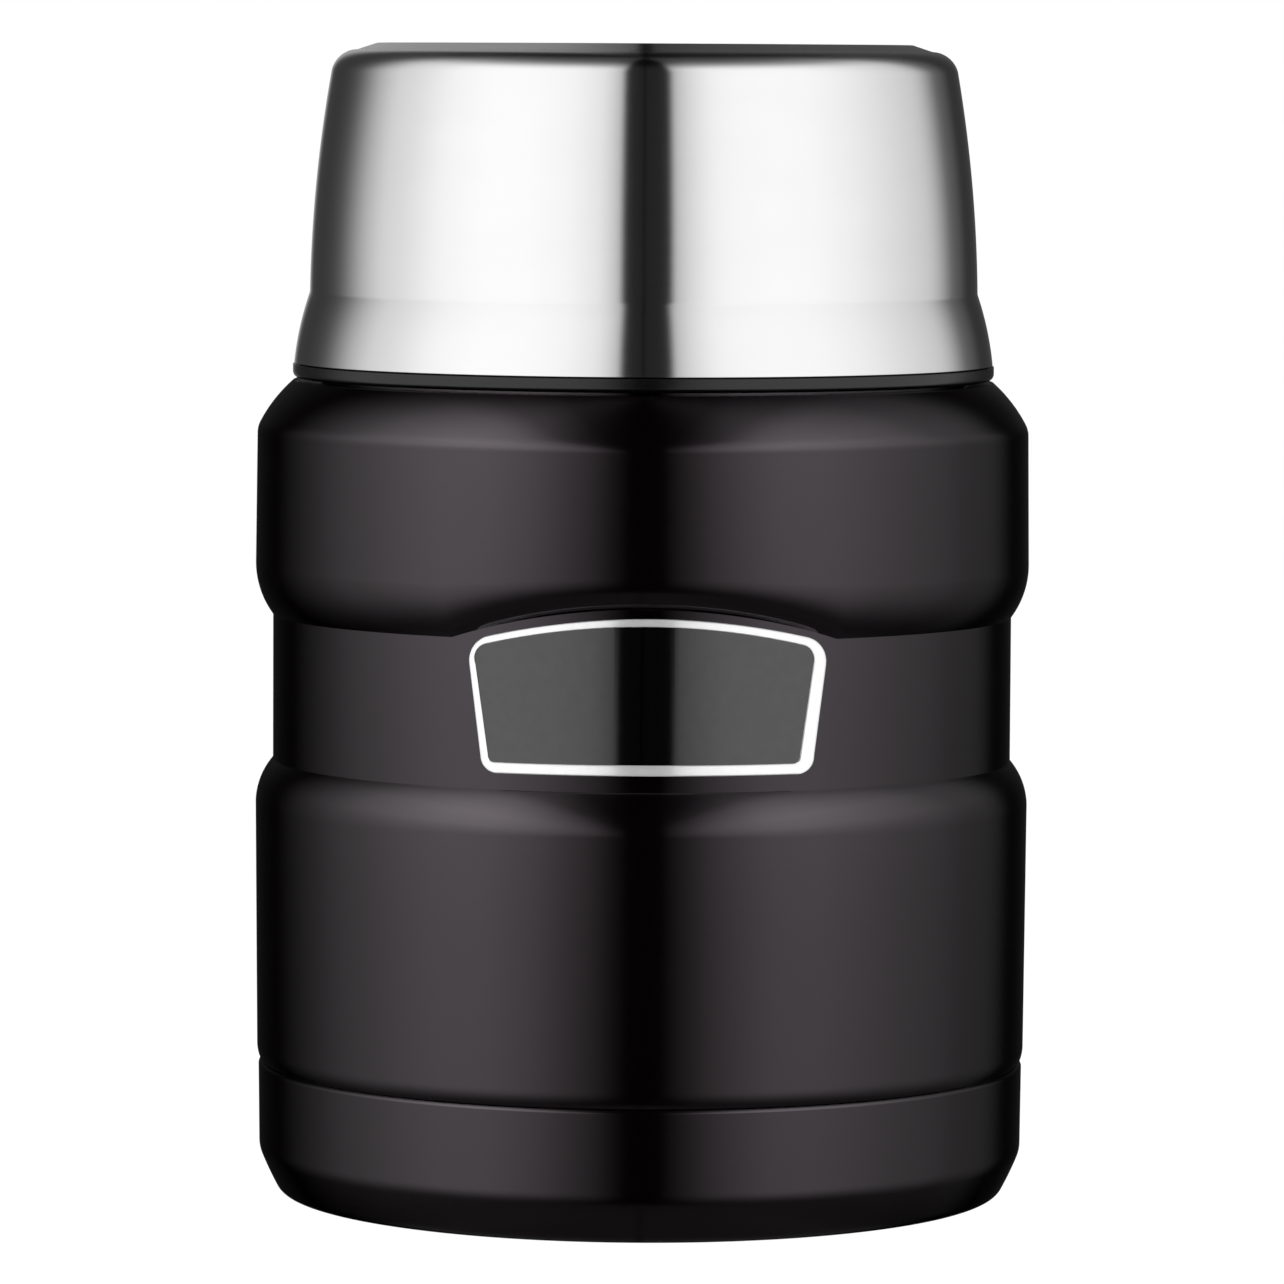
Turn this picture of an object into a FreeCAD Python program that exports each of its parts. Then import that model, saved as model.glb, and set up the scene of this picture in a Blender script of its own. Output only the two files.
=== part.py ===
"""An insulated food jar with a screw-on serving bowl, as a parametric document, in millimetres.

The jar is two drawn steel walls with a vacuum between them. A stopper screws into its mouth, and the
serving bowl, which is also the outer lid, screws onto the stopper's head. The origin is at the middle of
the foot, +Z is up and the badge faces -Y. Both screw threads are right-handed with two starts.
"""

import FreeCAD, Part
import math
import os

import Sketcher

PARTS = "parts"
SIZES = "Sizes"

# Driving dimensions: name, value, meaning. Lengths are in millimetres and angles in degrees.
DRIVING = [
    ("jar_radius", 47.0, "widest radius of the painted body"),
    ("outer_wall", 0.6, "sheet of the outer shell and the base cup"),
    ("inner_wall", 0.5, "sheet of the inner vessel"),
    ("seam_height", 16.2, "weld seam between the outer shell and the base cup"),
    ("seam_inset", 0.35, "how much narrower the body is at the seam than at its widest"),
    ("waist_low", 53.5, "bottom of the recessed waist band"),
    ("waist_width", 17.1, "height of the waist band"),
    ("waist_depth", 2.1, "how deep the waist band is pressed in"),
    ("waist_roll", 5.6, "height of the rounding above and below the waist band"),
    ("waist_round", 7.4, "radius of that rounding"),
    ("arch_rise", 3.7, "how far the band's top edge rises over the badge"),
    ("arch_margin", 2.3, "how far the arch reaches past the badge on each side"),
    ("upper_side", 16.3, "straight side between the waist's rounding and the crease"),
    ("crease_inset", 0.25, "how much narrower the body is at the crease than at its widest"),
    ("crease_rise", 1.5, "height of the rounding between the side and the shoulder"),
    ("crease_run", 0.42, "radial run of that rounding"),
    ("crease_round", 3.0, "radius of that rounding"),
    ("shoulder_rise", 5.0, "height of the shoulder's slope"),
    ("shoulder_inset", 4.8, "from the widest radius in to the edge of the shoulder's flat top"),
    ("shoulder_round", 18.0, "radius of the shoulder's curve"),
    ("neck_inset", 8.4, "from the widest radius in to the neck"),
    ("neck_height", 5.0, "height of the neck above the shoulder"),
    ("neck_width", 3.1, "from the outside of the neck in to the mouth"),
    ("mouth_depth", 15.7, "from the lip down to the ledge that the stopper's gasket seals on"),
    ("ledge_width", 3.5, "width of that ledge"),
    ("throat_height", 1.5, "height of the throat under the ledge"),
    ("vacuum_gap", 4.5, "gap between the two walls at the jar's widest"),
    ("throat_mitre", 0.15, "how much higher the throat starts on the outside of the sheet"),
    ("vessel_shoulder_rise", 10.0, "height of the vessel's shoulder"),
    ("vessel_round", 11.0, "radius of the vessel's shoulder"),
    ("vessel_floor", 7.4, "underside of the vessel"),
    ("vessel_joint", 18.0, "weld between the vessel's wall and its bottom"),
    ("vessel_corner", 8.0, "corner radius of the vessel's bottom"),
    ("foil_thickness", 0.2, "radiation shield wound round the vessel"),
    ("foil_clearance", 0.05, "gap between the vessel and the shield"),
    ("foil_margin", 1.0, "how far the shield stops short of the vessel's joint and shoulder"),
    ("seam_step", 0.15, "how far the base cup is set back from the shell at the seam"),
    ("lap_height", 3.0, "height of the base cup's rim inside the shell"),
    ("lap_clearance", 0.05, "gap between that rim and the shell"),
    ("base_inset", 0.63, "how much narrower the base cup is at its chamfer than the widest radius"),
    ("lap_drop", 0.3, "how far under the seam the base cup's sheet bends in to its rim"),
    ("chamfer_height", 5.8, "top of the foot's chamfer"),
    ("chamfer_mitre", 0.18, "how much higher the chamfer's top is on the inside of the sheet"),
    ("chamfer_run", 2.37, "radial run of that chamfer"),
    ("foot_round_height", 0.9, "top of the foot's rounding"),
    ("foot_round_run", 1.5, "radial run of the foot's rounding"),
    ("foot_round", 1.8, "radius of the foot's rounding"),
    ("foot_mitre", 0.72, "how much narrower the standing face is on the inside of the sheet"),
    ("foot_width", 5.1, "width of the ring that the jar stands on"),
    ("recess_depth", 3.0, "depth of the recess under the base"),
    ("dimple_radius", 5.0, "dimple round the evacuation port"),
    ("dimple_depth", 1.6, "depth of that dimple"),
    ("port_radius", 1.2, "evacuation port"),
    ("bead_overlap", 1.4, "how far the solder glass bead spreads past the port"),
    ("bead_height", 0.9, "height of the bead under the port"),
    ("disc_thickness", 0.8, "thickness of the cover disc in the recess"),
    ("getter_offset", 20.0, "getter's distance from the axis"),
    ("getter_radius", 4.0, "getter pill"),
    ("getter_height", 1.4, "height of the getter pill"),
    ("clip_wall", 0.3, "sheet of the getter's cup"),
    ("clip_flange", 2.0, "width of the welded flange round the getter's cup"),
    ("bead_taper", 0.36, "how much narrower the bead is underneath than where it meets the dimple"),
    ("badge_margin", 1.6, "from the waist band's bottom up to the badge"),
    ("badge_lift", 0.25, "how far the badge's upper corners reach over the band's plain top edge"),
    ("badge_top_half", 21.2, "half the badge's width at its upper corners"),
    ("badge_taper", 2.0, "how much narrower that half-width is at the bottom edge"),
    ("badge_round", 2.0, "rounding of the badge's corners"),
    ("badge_shoulder", 0.3, "how far the arched top edge starts above the upper corners"),
    ("badge_arch_round", 95.0, "radius of the badge's arched top edge"),
    ("badge_border", 1.1, "width of the badge's bright border"),
    ("badge_plate_thickness", 0.6, "badge plate"),
    ("badge_infill_depth", 0.3, "depth of the dark enamel in the badge plate"),
    ("badge_infill_drop", 0.05, "how far the enamel lies under the border"),
    ("tape_thickness", 0.15, "adhesive behind the badge"),
    ("tape_inset", 0.8, "how far the adhesive stops short of the badge's edge"),
    ("plug_clearance", 1.5, "radial room between the plug and the mouth"),
    ("plug_wall", 1.6, "moulded wall of the stopper"),
    ("thread_depth", 1.1, "height of the threads in the mouth and on the plug"),
    ("thread_base", 2.0, "width of a mouth or plug thread at its root"),
    ("thread_crest", 1.1, "width of a mouth or plug thread at its crest"),
    ("thread_lead", 10.0, "rise of the stopper per turn"),
    ("thread_start", 3.7, "height above the ledge where the mouth's thread begins"),
    ("thread_rise", 8.0, "height that each start of the mouth's thread climbs"),
    ("thread_root", 0.3, "how deep every thread's root is sunk in its wall"),
    ("nose_gap", 1.2, "radial gap between the plug's nose and the throat"),
    ("nose_length", 1.7, "how far the nose reaches below the ledge"),
    ("bead_lip", 0.7, "bead on the nose that keeps the gasket on"),
    ("bead_lip_height", 0.9, "height of that bead"),
    ("gasket_thickness", 2.5, "silicone gasket"),
    ("gasket_bevel", 0.5, "radial run of the bevels on the gasket's outer edges"),
    ("gasket_bevel_rise", 0.75, "height of each of those bevels"),
    ("gasket_clearance", 1.5, "gap between the gasket and the mouth's wall, wider than the thread"),
    ("seat_gap", 0.3, "gap between the gasket and its ledge"),
    ("head_gap", 0.4, "gap between the stopper's head and the lip"),
    ("head_inset", 1.0, "from the outside of the neck in to the stopper's head"),
    ("head_height", 8.4, "height of the stopper's head"),
    ("bowl_thread_depth", 0.9, "height of the threads between the head and the bowl"),
    ("bowl_thread_base", 1.6, "width of such a thread at its root"),
    ("bowl_thread_crest", 0.9, "width of such a thread at its crest"),
    ("bowl_thread_lead", 8.0, "rise of the bowl per turn"),
    ("bowl_thread_start", 1.3, "height of the head's thread above the head's underside"),
    ("bowl_thread_rise", 6.0, "height that each start of the head's thread climbs"),
    ("collar_thread_rise", 3.8, "height that each start of the collar's thread climbs"),
    ("bowl_thread_gap", 0.35, "radial gap between the head's thread and the collar's wall"),
    ("cap_thickness", 1.6, "disc of the stopper's top cover"),
    ("cap_bevel", 0.64, "height of the slope round the cover's edge"),
    ("cap_inset", 1.0, "how far the cover stops short of the head's edge"),
    ("cap_skirt", 1.8, "skirt under the cover, inside the head"),
    ("cap_skirt_wall", 1.2, "wall of that skirt"),
    ("cap_skirt_gap", 0.1, "gap between that skirt and the head"),
    ("grip_inset", 2.2, "from the head's edge in to the grip ring"),
    ("grip_wall", 4.6, "width of the grip ring"),
    ("grip_bevel", 0.92, "bevels on the grip ring's upper edges"),
    ("grip_height", 6.4, "height of the grip ring above the cover"),
    ("groove_count", 36, "grip grooves round the ring"),
    ("groove_radius", 1.1, "radius of a grip groove"),
    ("groove_depth", 0.7, "depth of a grip groove"),
    ("foam_gap", 0.3, "room round the insulating foam"),
    ("ring_gap", 0.3, "gap between the bowl's black rim ring and the shoulder"),
    ("ring_height", 1.8, "height of the rim ring below the steel shell"),
    ("ring_lap", 0.1, "gap between the rim ring and the steel shell's edge"),
    ("ring_overhang", 0.15, "how far the rim ring stands out past the steel shell"),
    ("ring_round", 0.8, "rounding of the rim ring's lower edge"),
    ("collar_wall", 1.0, "wall of the threaded collar inside the steel shell"),
    ("collar_over", 0.2, "how far the collar reaches above the stopper's head"),
    ("collar_clearance", 0.15, "gap between the collar and the steel shell"),
    ("collar_bore_gap", 0.7, "radial gap between the collar and the neck"),
    ("bowl_wall", 0.5, "sheet of the bowl's shells"),
    ("flare_height", 8.6, "height of the flare at the bowl's mouth"),
    ("flare_run", 1.9, "how much the flare widens the bowl"),
    ("bowl_flare_round", 38.0, "radius of the flare"),
    ("bowl_height", 38.7, "height of the steel shell"),
    ("bowl_side_round", 170.0, "radius of the side above the flare"),
    ("bowl_side_taper", 2.6, "how much the side narrows towards the top"),
    ("bowl_corner_run", 2.6, "radial run of the upper corner's rounding"),
    ("bowl_corner_rise", 2.4, "height of the upper corner's rounding"),
    ("bowl_corner_round", 3.1, "radius of the upper corner"),
    ("corner_mitre", 0.15, "how much narrower the corner's inner end is on the inside of the sheet"),
    ("side_mitre", 0.1, "how much lower the corner starts on the inside of the sheet"),
    ("crown_run", 2.9, "radial run of the slope between that corner and the flat top"),
    ("crown_rise", 0.8, "height of that slope"),
    ("ring_seal_height", 1.0, "rubber ring between the collar and the liner"),
    ("liner_lip", 1.85, "how far the liner's mouth lies inside the collar's bore"),
    ("liner_taper", 2.4, "how much the liner narrows towards its floor"),
    ("liner_corner", 3.0, "corner radius of the liner"),
    ("liner_gap", 3.0, "air gap between the liner's floor and the steel top"),
]

# Sizes that follow from the driving ones: name, formula, meaning.
DERIVED = [
    ("waist_high", "waist_low + waist_width", "top of the recessed waist band"),
    ("arch_half", "badge_top_half + arch_margin", "half the arch's width round the waist"),
    ("crease_height", "waist_high + waist_roll + upper_side", "bottom of the crease's rounding"),
    ("shoulder_height", "crease_height + crease_rise + shoulder_rise", "flat top of the shoulder"),
    ("shoulder_radius", "jar_radius - shoulder_inset", "edge of the shoulder's flat top"),
    ("neck_radius", "jar_radius - neck_inset", "outside of the neck"),
    ("lip_height", "shoulder_height + neck_height", "top of the lip"),
    ("mouth_radius", "neck_radius - neck_width", "inside of the mouth"),
    ("ledge_height", "lip_height - mouth_depth", "top of the ledge"),
    ("ledge_radius", "mouth_radius - ledge_width", "throat inside the ledge"),
    ("vessel_radius", "jar_radius - outer_wall - vacuum_gap - inner_wall", "inside of the vessel"),
    ("vessel_shoulder", "ledge_height - throat_height - vessel_shoulder_rise", "vessel's shoulder"),
    ("foot_round_radius", "jar_radius - base_inset - chamfer_run", "outside of the foot's rounding"),
    ("foot_radius", "foot_round_radius - foot_round_run", "edge of the face the jar stands on"),
    ("recess_radius", "foot_radius - foot_width", "inside edge of that face"),
    ("disc_radius", "recess_radius - outer_wall", "cover disc in the base recess"),
    ("bead_radius", "port_radius + bead_overlap", "solder glass bead"),
    ("badge_low", "waist_low + badge_margin", "bottom edge of the badge"),
    ("badge_corner", "waist_high + badge_lift", "height of the badge's upper corners"),
    ("badge_low_half", "badge_top_half - badge_taper", "half the badge's width at the bottom"),
    ("thread_low", "ledge_height + thread_start", "where the mouth's thread begins"),
    ("nose_radius", "ledge_radius - nose_gap", "nose of the plug, inside the gasket"),
    ("head_radius", "neck_radius - head_inset", "stopper's head, under its thread"),
    ("head_top", "lip_height + head_gap + head_height", "top of the stopper's head"),
    ("grip_radius", "head_radius - grip_inset", "outside of the grip ring"),
    ("thread_bore", "head_radius + bowl_thread_depth + bowl_thread_gap", "collar's threaded bore"),
    ("collar_bore", "neck_radius + collar_bore_gap", "collar's bore round the neck"),
    ("collar_radius", "thread_bore + collar_wall", "outside of the collar at the step"),
    ("collar_top", "head_top + collar_over", "top of the threaded collar"),
    ("bowl_step_radius", "collar_radius + collar_clearance + bowl_wall", "steel shell at its step"),
    ("bowl_edge_radius", "bowl_step_radius + flare_run", "steel shell at its lower edge"),
    ("bowl_side_radius", "bowl_step_radius - bowl_side_taper", "steel shell at its upper corner"),
    ("bowl_corner_radius", "bowl_side_radius - bowl_corner_run", "inner end of the corner"),
    ("bowl_flat_radius", "bowl_corner_radius - crown_run", "edge of the bowl's flat top"),
    ("ring_radius", "bowl_edge_radius + ring_overhang", "outside of the rim ring"),
    ("ring_bottom", "shoulder_height + ring_gap", "underside of the rim ring"),
    ("bowl_edge", "ring_bottom + ring_height", "lower edge of the steel shell"),
    ("bowl_step", "bowl_edge + flare_height", "height of the step in the steel shell"),
    ("bowl_top", "bowl_edge + bowl_height", "overall height"),
    ("bowl_corner_height", "bowl_top - crown_rise", "upper end of the corner"),
    ("bowl_side_top", "bowl_corner_height - bowl_corner_rise", "lower end of the corner"),
    ("liner_flange", "collar_radius - 2 * collar_clearance", "edge of the liner's flange"),
    ("liner_mouth", "thread_bore - liner_lip", "inside of the liner at its mouth"),
]

# Arch sections: how far the pressed sector reaches past the arch, and how many sections shape it.
SECTOR_MARGIN = 1.25
SECTOR_SECTIONS = 21
FRONT = -90.0

# Where the inside of a bent sheet turns its corner, in sheet thicknesses in and down from the outside.
CREASE_MITRE = (0.9, 0.3)
BROW_MITRE = 0.36


def new_document():
    """The document and its sheet of sizes, one alias for each."""
    doc = FreeCAD.newDocument("FoodJar")
    sheet = doc.addObject("Spreadsheet::Sheet", SIZES)
    rows = [(name, str(value), meaning) for name, value, meaning in DRIVING]
    rows += [(name, f"={formula}", meaning) for name, formula, meaning in DERIVED]
    for row, (name, value, meaning) in enumerate(rows, start=1):
        sheet.set(f"A{row}", name)
        sheet.setAlias(f"B{row}", name)
        sheet.set(f"B{row}", value)
        sheet.set(f"C{row}", meaning)
    doc.recompute()
    return doc, sheet


def sized(expression):
    """An expression in plain names, with each name read from the sheet."""
    words = expression.replace("(", " ( ").replace(")", " ) ").split()
    names = {name for name, _, _ in DRIVING + DERIVED}
    return " ".join(f"{SIZES}.{w}" if w in names else w for w in words)


def value_of(sheet, expression):
    """The number that an expression of sheet names gives."""
    return float(sheet.evalExpression(sized(expression)))


def origin_part(body, role):
    """A body's own origin plane or axis."""
    return next(f for f in body.Origin.OriginFeatures if f.Role == role)


def new_body(doc, label):
    body = doc.addObject("PartDesign::Body", label)
    body.Label = label
    return body


def place_point(sketch, sheet, geometry, end, across, up):
    """Holds one end of a sketch line at its distance from each axis."""
    for kind, axis, expression in (("DistanceX", -2, across), ("DistanceY", -1, up)):
        if abs(value_of(sheet, expression)) < 1e-9:
            sketch.addConstraint(Sketcher.Constraint("PointOnObject", geometry, end, axis))
            continue
        number = value_of(sheet, expression)
        index = sketch.addConstraint(Sketcher.Constraint(kind, -1, 1, geometry, end, number))
        sketch.setExpression(f"Constraints[{index}]", sized(expression))


def arc_between(start, end, radius, bulge):
    """A shallow arc between two points. A bulge of 1 bends to the left of the way from start to end."""
    chord = end - start
    half = chord.Length / 2
    normal = FreeCAD.Vector(-chord.y, chord.x, 0).normalize() * bulge
    centre = (start + end) / 2 - normal * math.sqrt(radius**2 - half**2)
    return Part.Arc(start, centre + normal * radius, end)


def outline_sketch(body, sheet, name, role, corners):
    """A closed outline. Each corner is (across, up) or (across, up, radius, bulge): the way to the next
    corner is then an arc of that radius instead of a line."""
    sketch = body.newObject("Sketcher::SketchObject", name)
    sketch.AttachmentSupport = [(origin_part(body, role), "")]
    sketch.MapMode = "FlatFace"
    points = [
        FreeCAD.Vector(value_of(sheet, c[0]), value_of(sheet, c[1]), 0) for c in corners
    ]
    count = len(corners)
    for i, corner in enumerate(corners):
        start, end = points[i], points[(i + 1) % count]
        if len(corner) == 2:
            sketch.addGeometry(Part.LineSegment(start, end))
        else:
            radius = value_of(sheet, corner[2])
            sketch.addGeometry(arc_between(start, end, radius, corner[3]))
    first, last = [], []
    for i, corner in enumerate(corners):
        # An arc that bends to the left of its way runs clockwise, so its own ends are the other way round.
        turned = len(corner) == 4 and corner[3] > 0
        first.append(2 if turned else 1)
        last.append(1 if turned else 2)
    for i, corner in enumerate(corners):
        after = (i + 1) % count
        sketch.addConstraint(Sketcher.Constraint("Coincident", i, last[i], after, first[after]))
        place_point(sketch, sheet, i, first[i], corner[0], corner[1])
        if len(corner) == 4:
            radius = value_of(sheet, corner[2])
            index = sketch.addConstraint(Sketcher.Constraint("Radius", i, radius))
            sketch.setExpression(f"Constraints[{index}]", sized(corner[2]))
    return sketch


def turned_body(doc, sheet, label, corners):
    """A body of revolution about Z, from its outline in the XZ plane."""
    body = new_body(doc, label)
    sketch = outline_sketch(body, sheet, f"{label}_outline", "XZ_Plane", corners)
    turn = body.newObject("PartDesign::Revolution", f"{label}_turned")
    turn.Profile = sketch
    turn.ReferenceAxis = (sketch, ["V_Axis"])
    turn.Angle = 360
    doc.recompute()
    return body


def add_thread(doc, sheet, body, name, wall, crest, middle, base, tip, lead, rise):
    """Two thread starts on a wall. wall and crest are radii, and middle is the height where they begin."""
    deep = "thread_root" if value_of(sheet, crest) < value_of(sheet, wall) else "-1 * thread_root"
    corners = [
        (f"{wall} + {deep}", f"{middle} - ( {base} ) / 2"),
        (crest, f"{middle} - ( {tip} ) / 2"),
        (crest, f"{middle} + ( {tip} ) / 2"),
        (f"{wall} + {deep}", f"{middle} + ( {base} ) / 2"),
    ]
    sketch = outline_sketch(body, sheet, f"{name}_section", "XZ_Plane", corners)
    doc.recompute()
    helix = body.newObject("PartDesign::AdditiveHelix", name)
    helix.Profile = sketch
    helix.ReferenceAxis = (sketch, ["V_Axis"])
    helix.Mode = "pitch-height-angle"
    helix.setExpression("Pitch", sized(lead))
    helix.setExpression("Height", sized(rise))
    helix.Reversed = False
    doc.recompute()
    pattern = body.newObject("PartDesign::PolarPattern", f"{name}_starts")
    pattern.Originals = [helix]
    pattern.Axis = (sketch, ["V_Axis"])
    pattern.Angle = 360
    pattern.Occurrences = 2
    body.Tip = pattern
    doc.recompute()


# Jar body


def shell_section(sheet, rise):
    """Half-section edges of the outer shell's wall at one place round the jar, seam to neck, as a closed
    wire in the XZ plane. rise lifts the upper edge of the waist band."""

    def at(name):
        return value_of(sheet, name)

    wall, full = at("outer_wall"), at("jar_radius")
    waist = full - at("waist_depth")
    low, high = at("waist_low"), at("waist_high") + rise
    roll, rounding = at("waist_roll"), at("waist_round")
    shoulder, flat = at("shoulder_radius"), at("shoulder_height")

    def side(w):
        """The corners of one face of the sheet, w inside the painted face."""
        bend_in, bend_down, brow = CREASE_MITRE[0] * w, CREASE_MITRE[1] * w, BROW_MITRE * w
        return [
            ((full - at("seam_inset") - w, at("seam_height")), None),
            ((full - w, low - roll), (rounding - w, -1)),
            ((waist - w, low), None),
            ((waist - w, high), (rounding - w, -1)),
            ((full - w, high + roll), None),
            ((full - at("crease_inset") - w, at("crease_height")), (at("crease_round") - w, -1)),
            (
                (
                    full - at("crease_inset") - at("crease_run") - bend_in,
                    at("crease_height") + at("crease_rise") - bend_down,
                ),
                (at("shoulder_round") - w, -1),
            ),
            ((shoulder - brow, flat - w), None),
            ((at("neck_radius") - w, flat - w), None),
            ((at("neck_radius") - w, at("lip_height") - at("inner_wall")), None),
        ]

    def edges(corners):
        made = []
        for (here, bend), (there, _) in zip(corners, corners[1:]):
            a, b = FreeCAD.Vector(*here, 0), FreeCAD.Vector(*there, 0)
            curve = Part.LineSegment(a, b) if bend is None else arc_between(a, b, *bend)
            made.append(curve.toShape())
        return made

    outside, inside = side(0.0), side(wall)
    neck_end = edges([outside[-1], inside[-1]])
    seam_end = edges([(inside[0][0], None), outside[0]])
    made = edges(outside) + neck_end + edges(inside)[::-1] + seam_end
    wire = Part.Wire(Part.__sortEdges__(made))
    wire.rotate(FreeCAD.Vector(), FreeCAD.Vector(1, 0, 0), 90)
    return wire


def make_outer_shell(doc, sheet):
    """The painted outer wall. The waist band's upper edge rises in an arch over the badge, so the sector
    at the front is a loft through half-sections and the rest is turned."""
    waist = value_of(sheet, "jar_radius - waist_depth")
    reach = value_of(sheet, "arch_half")
    rise = value_of(sheet, "arch_rise")
    half = math.degrees(reach * SECTOR_MARGIN / waist)
    axis = FreeCAD.Vector(0, 0, 1)
    sections = []
    for i in range(SECTOR_SECTIONS):
        angle = -half + 2 * half * i / (SECTOR_SECTIONS - 1)
        round_waist = math.radians(abs(angle)) * waist
        lift = max(0.0, rise * (1 - (round_waist / reach) ** 2))
        wire = shell_section(sheet, lift)
        wire.rotate(FreeCAD.Vector(), axis, FRONT + angle)
        sections.append(wire)
    sector = Part.makeLoft(sections, True, False)
    plain = Part.Face(shell_section(sheet, 0.0))
    plain.rotate(FreeCAD.Vector(), axis, FRONT + half)
    rest = plain.revolve(FreeCAD.Vector(), axis, 360 - 2 * half)
    shell = doc.addObject("Part::Feature", "outer_shell")
    shell.Label = "outer_shell"
    shell.Shape = sector.fuse(rest)
    shell.Placement = FreeCAD.Placement()
    return shell


def make_base_cup(doc, sheet):
    """The painted base, welded to the shell at the seam, with the foot, the recess and the port."""
    lap = "jar_radius - seam_inset - outer_wall - lap_clearance"
    floor = "recess_depth + outer_wall"
    dimple = "recess_depth + dimple_depth"
    corners = [
        ("jar_radius - base_inset", "chamfer_height"),
        ("jar_radius - seam_inset - seam_step", "seam_height"),
        (lap, "seam_height"),
        (lap, "seam_height + lap_height"),
        (f"{lap} - outer_wall", "seam_height + lap_height"),
        (f"{lap} - outer_wall", "seam_height - lap_drop"),
        ("jar_radius - base_inset - outer_wall", "chamfer_height + chamfer_mitre"),
        ("foot_round_radius - outer_wall", "foot_round_height + outer_wall"),
        ("foot_radius - foot_mitre", "outer_wall"),
        ("recess_radius + outer_wall", "outer_wall"),
        ("recess_radius", floor),
        ("dimple_radius + outer_wall", floor),
        ("dimple_radius", f"{dimple} + outer_wall"),
        ("port_radius", f"{dimple} + outer_wall"),
        ("port_radius", dimple),
        ("dimple_radius - outer_wall", dimple),
        ("dimple_radius", "recess_depth"),
        ("recess_radius - outer_wall", "recess_depth"),
        ("recess_radius", "0"),
        ("foot_radius", "0", "foot_round", 1),
        ("foot_round_radius", "foot_round_height"),
    ]
    return turned_body(doc, sheet, "base_cup", corners)


def make_base_disc(doc, sheet):
    corners = [
        ("0", "recess_depth - disc_thickness"),
        ("disc_radius - 2 * outer_wall", "recess_depth - disc_thickness"),
        ("disc_radius - outer_wall", "recess_depth"),
        ("0", "recess_depth"),
    ]
    return turned_body(doc, sheet, "base_disc", corners)


def make_port_bead(doc, sheet):
    """The solder glass that closes the evacuation port, a rivet shape with its head in the dimple."""
    under = "recess_depth + dimple_depth"
    corners = [
        ("0", f"{under} - bead_height"),
        ("bead_radius - bead_taper", f"{under} - bead_height"),
        ("bead_radius", f"{under}"),
        ("port_radius", f"{under}"),
        ("port_radius", f"{under} + outer_wall"),
        ("0", f"{under} + outer_wall"),
    ]
    return turned_body(doc, sheet, "port_seal_bead", corners)


def make_vessel_wall(doc, sheet):
    """The inner wall, with the ledge, the threaded mouth and the lip that closes the vacuum."""
    outer = "vessel_radius + inner_wall"
    throat = "ledge_height - throat_height"
    corners = [
        ("vessel_radius", "vessel_joint"),
        ("vessel_radius", "vessel_shoulder", "vessel_round", -1),
        ("ledge_radius", throat),
        ("ledge_radius", "ledge_height"),
        ("mouth_radius", "ledge_height"),
        ("mouth_radius", "lip_height"),
        ("neck_radius", "lip_height"),
        ("neck_radius", "lip_height - inner_wall"),
        ("mouth_radius + inner_wall", "lip_height - inner_wall"),
        ("mouth_radius + inner_wall", "ledge_height - inner_wall"),
        ("ledge_radius + inner_wall", "ledge_height - inner_wall"),
        ("ledge_radius + inner_wall", f"{throat} + throat_mitre", "vessel_round + inner_wall", 1),
        (outer, "vessel_shoulder"),
        (outer, "vessel_joint"),
    ]
    body = turned_body(doc, sheet, "vessel_wall", corners)
    add_thread(
        doc, sheet, body, "mouth_thread", "mouth_radius", "mouth_radius - thread_depth",
        "thread_low", "thread_base", "thread_crest", "thread_lead", "thread_rise",
    )
    return body


def make_vessel_bottom(doc, sheet):
    outer = "vessel_radius + inner_wall"
    corners = [
        ("0", "vessel_floor"),
        (f"{outer} - vessel_corner", "vessel_floor", "vessel_corner", -1),
        (outer, "vessel_floor + vessel_corner"),
        (outer, "vessel_joint"),
        ("vessel_radius", "vessel_joint"),
        ("vessel_radius", "vessel_floor + vessel_corner", "vessel_corner - inner_wall", 1),
        (f"{outer} - vessel_corner", "vessel_floor + inner_wall"),
        ("0", "vessel_floor + inner_wall"),
    ]
    return turned_body(doc, sheet, "vessel_bottom", corners)


def make_heat_shield(doc, sheet):
    inside = "vessel_radius + inner_wall + foil_clearance"
    corners = [
        (inside, "vessel_joint + foil_margin"),
        (f"{inside} + foil_thickness", "vessel_joint + foil_margin"),
        (f"{inside} + foil_thickness", "vessel_shoulder - foil_margin"),
        (inside, "vessel_shoulder - foil_margin"),
    ]
    return turned_body(doc, sheet, "heat_shield", corners)


def make_getter(doc, sheet):
    """The getter pill and the little flanged cup that is spot-welded over it, on the base cup's floor."""
    floor = "recess_depth + outer_wall"
    pill = turned_body(doc, sheet, "getter_pill", [
        ("0", floor),
        ("getter_radius", floor),
        ("getter_radius", f"{floor} + getter_height"),
        ("0", f"{floor} + getter_height"),
    ])
    cup = turned_body(doc, sheet, "getter_cup", [
        ("0", f"{floor} + getter_height"),
        ("getter_radius", f"{floor} + getter_height"),
        ("getter_radius", floor),
        ("getter_radius + clip_wall + clip_flange", floor),
        ("getter_radius + clip_wall + clip_flange", f"{floor} + clip_wall"),
        ("getter_radius + clip_wall", f"{floor} + clip_wall"),
        ("getter_radius + clip_wall", f"{floor} + getter_height + clip_wall"),
        ("0", f"{floor} + getter_height + clip_wall"),
    ])
    for piece in (pill, cup):
        piece.setExpression("Placement.Base.x", sized("getter_offset"))
    return pill, cup


# Badge


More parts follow.
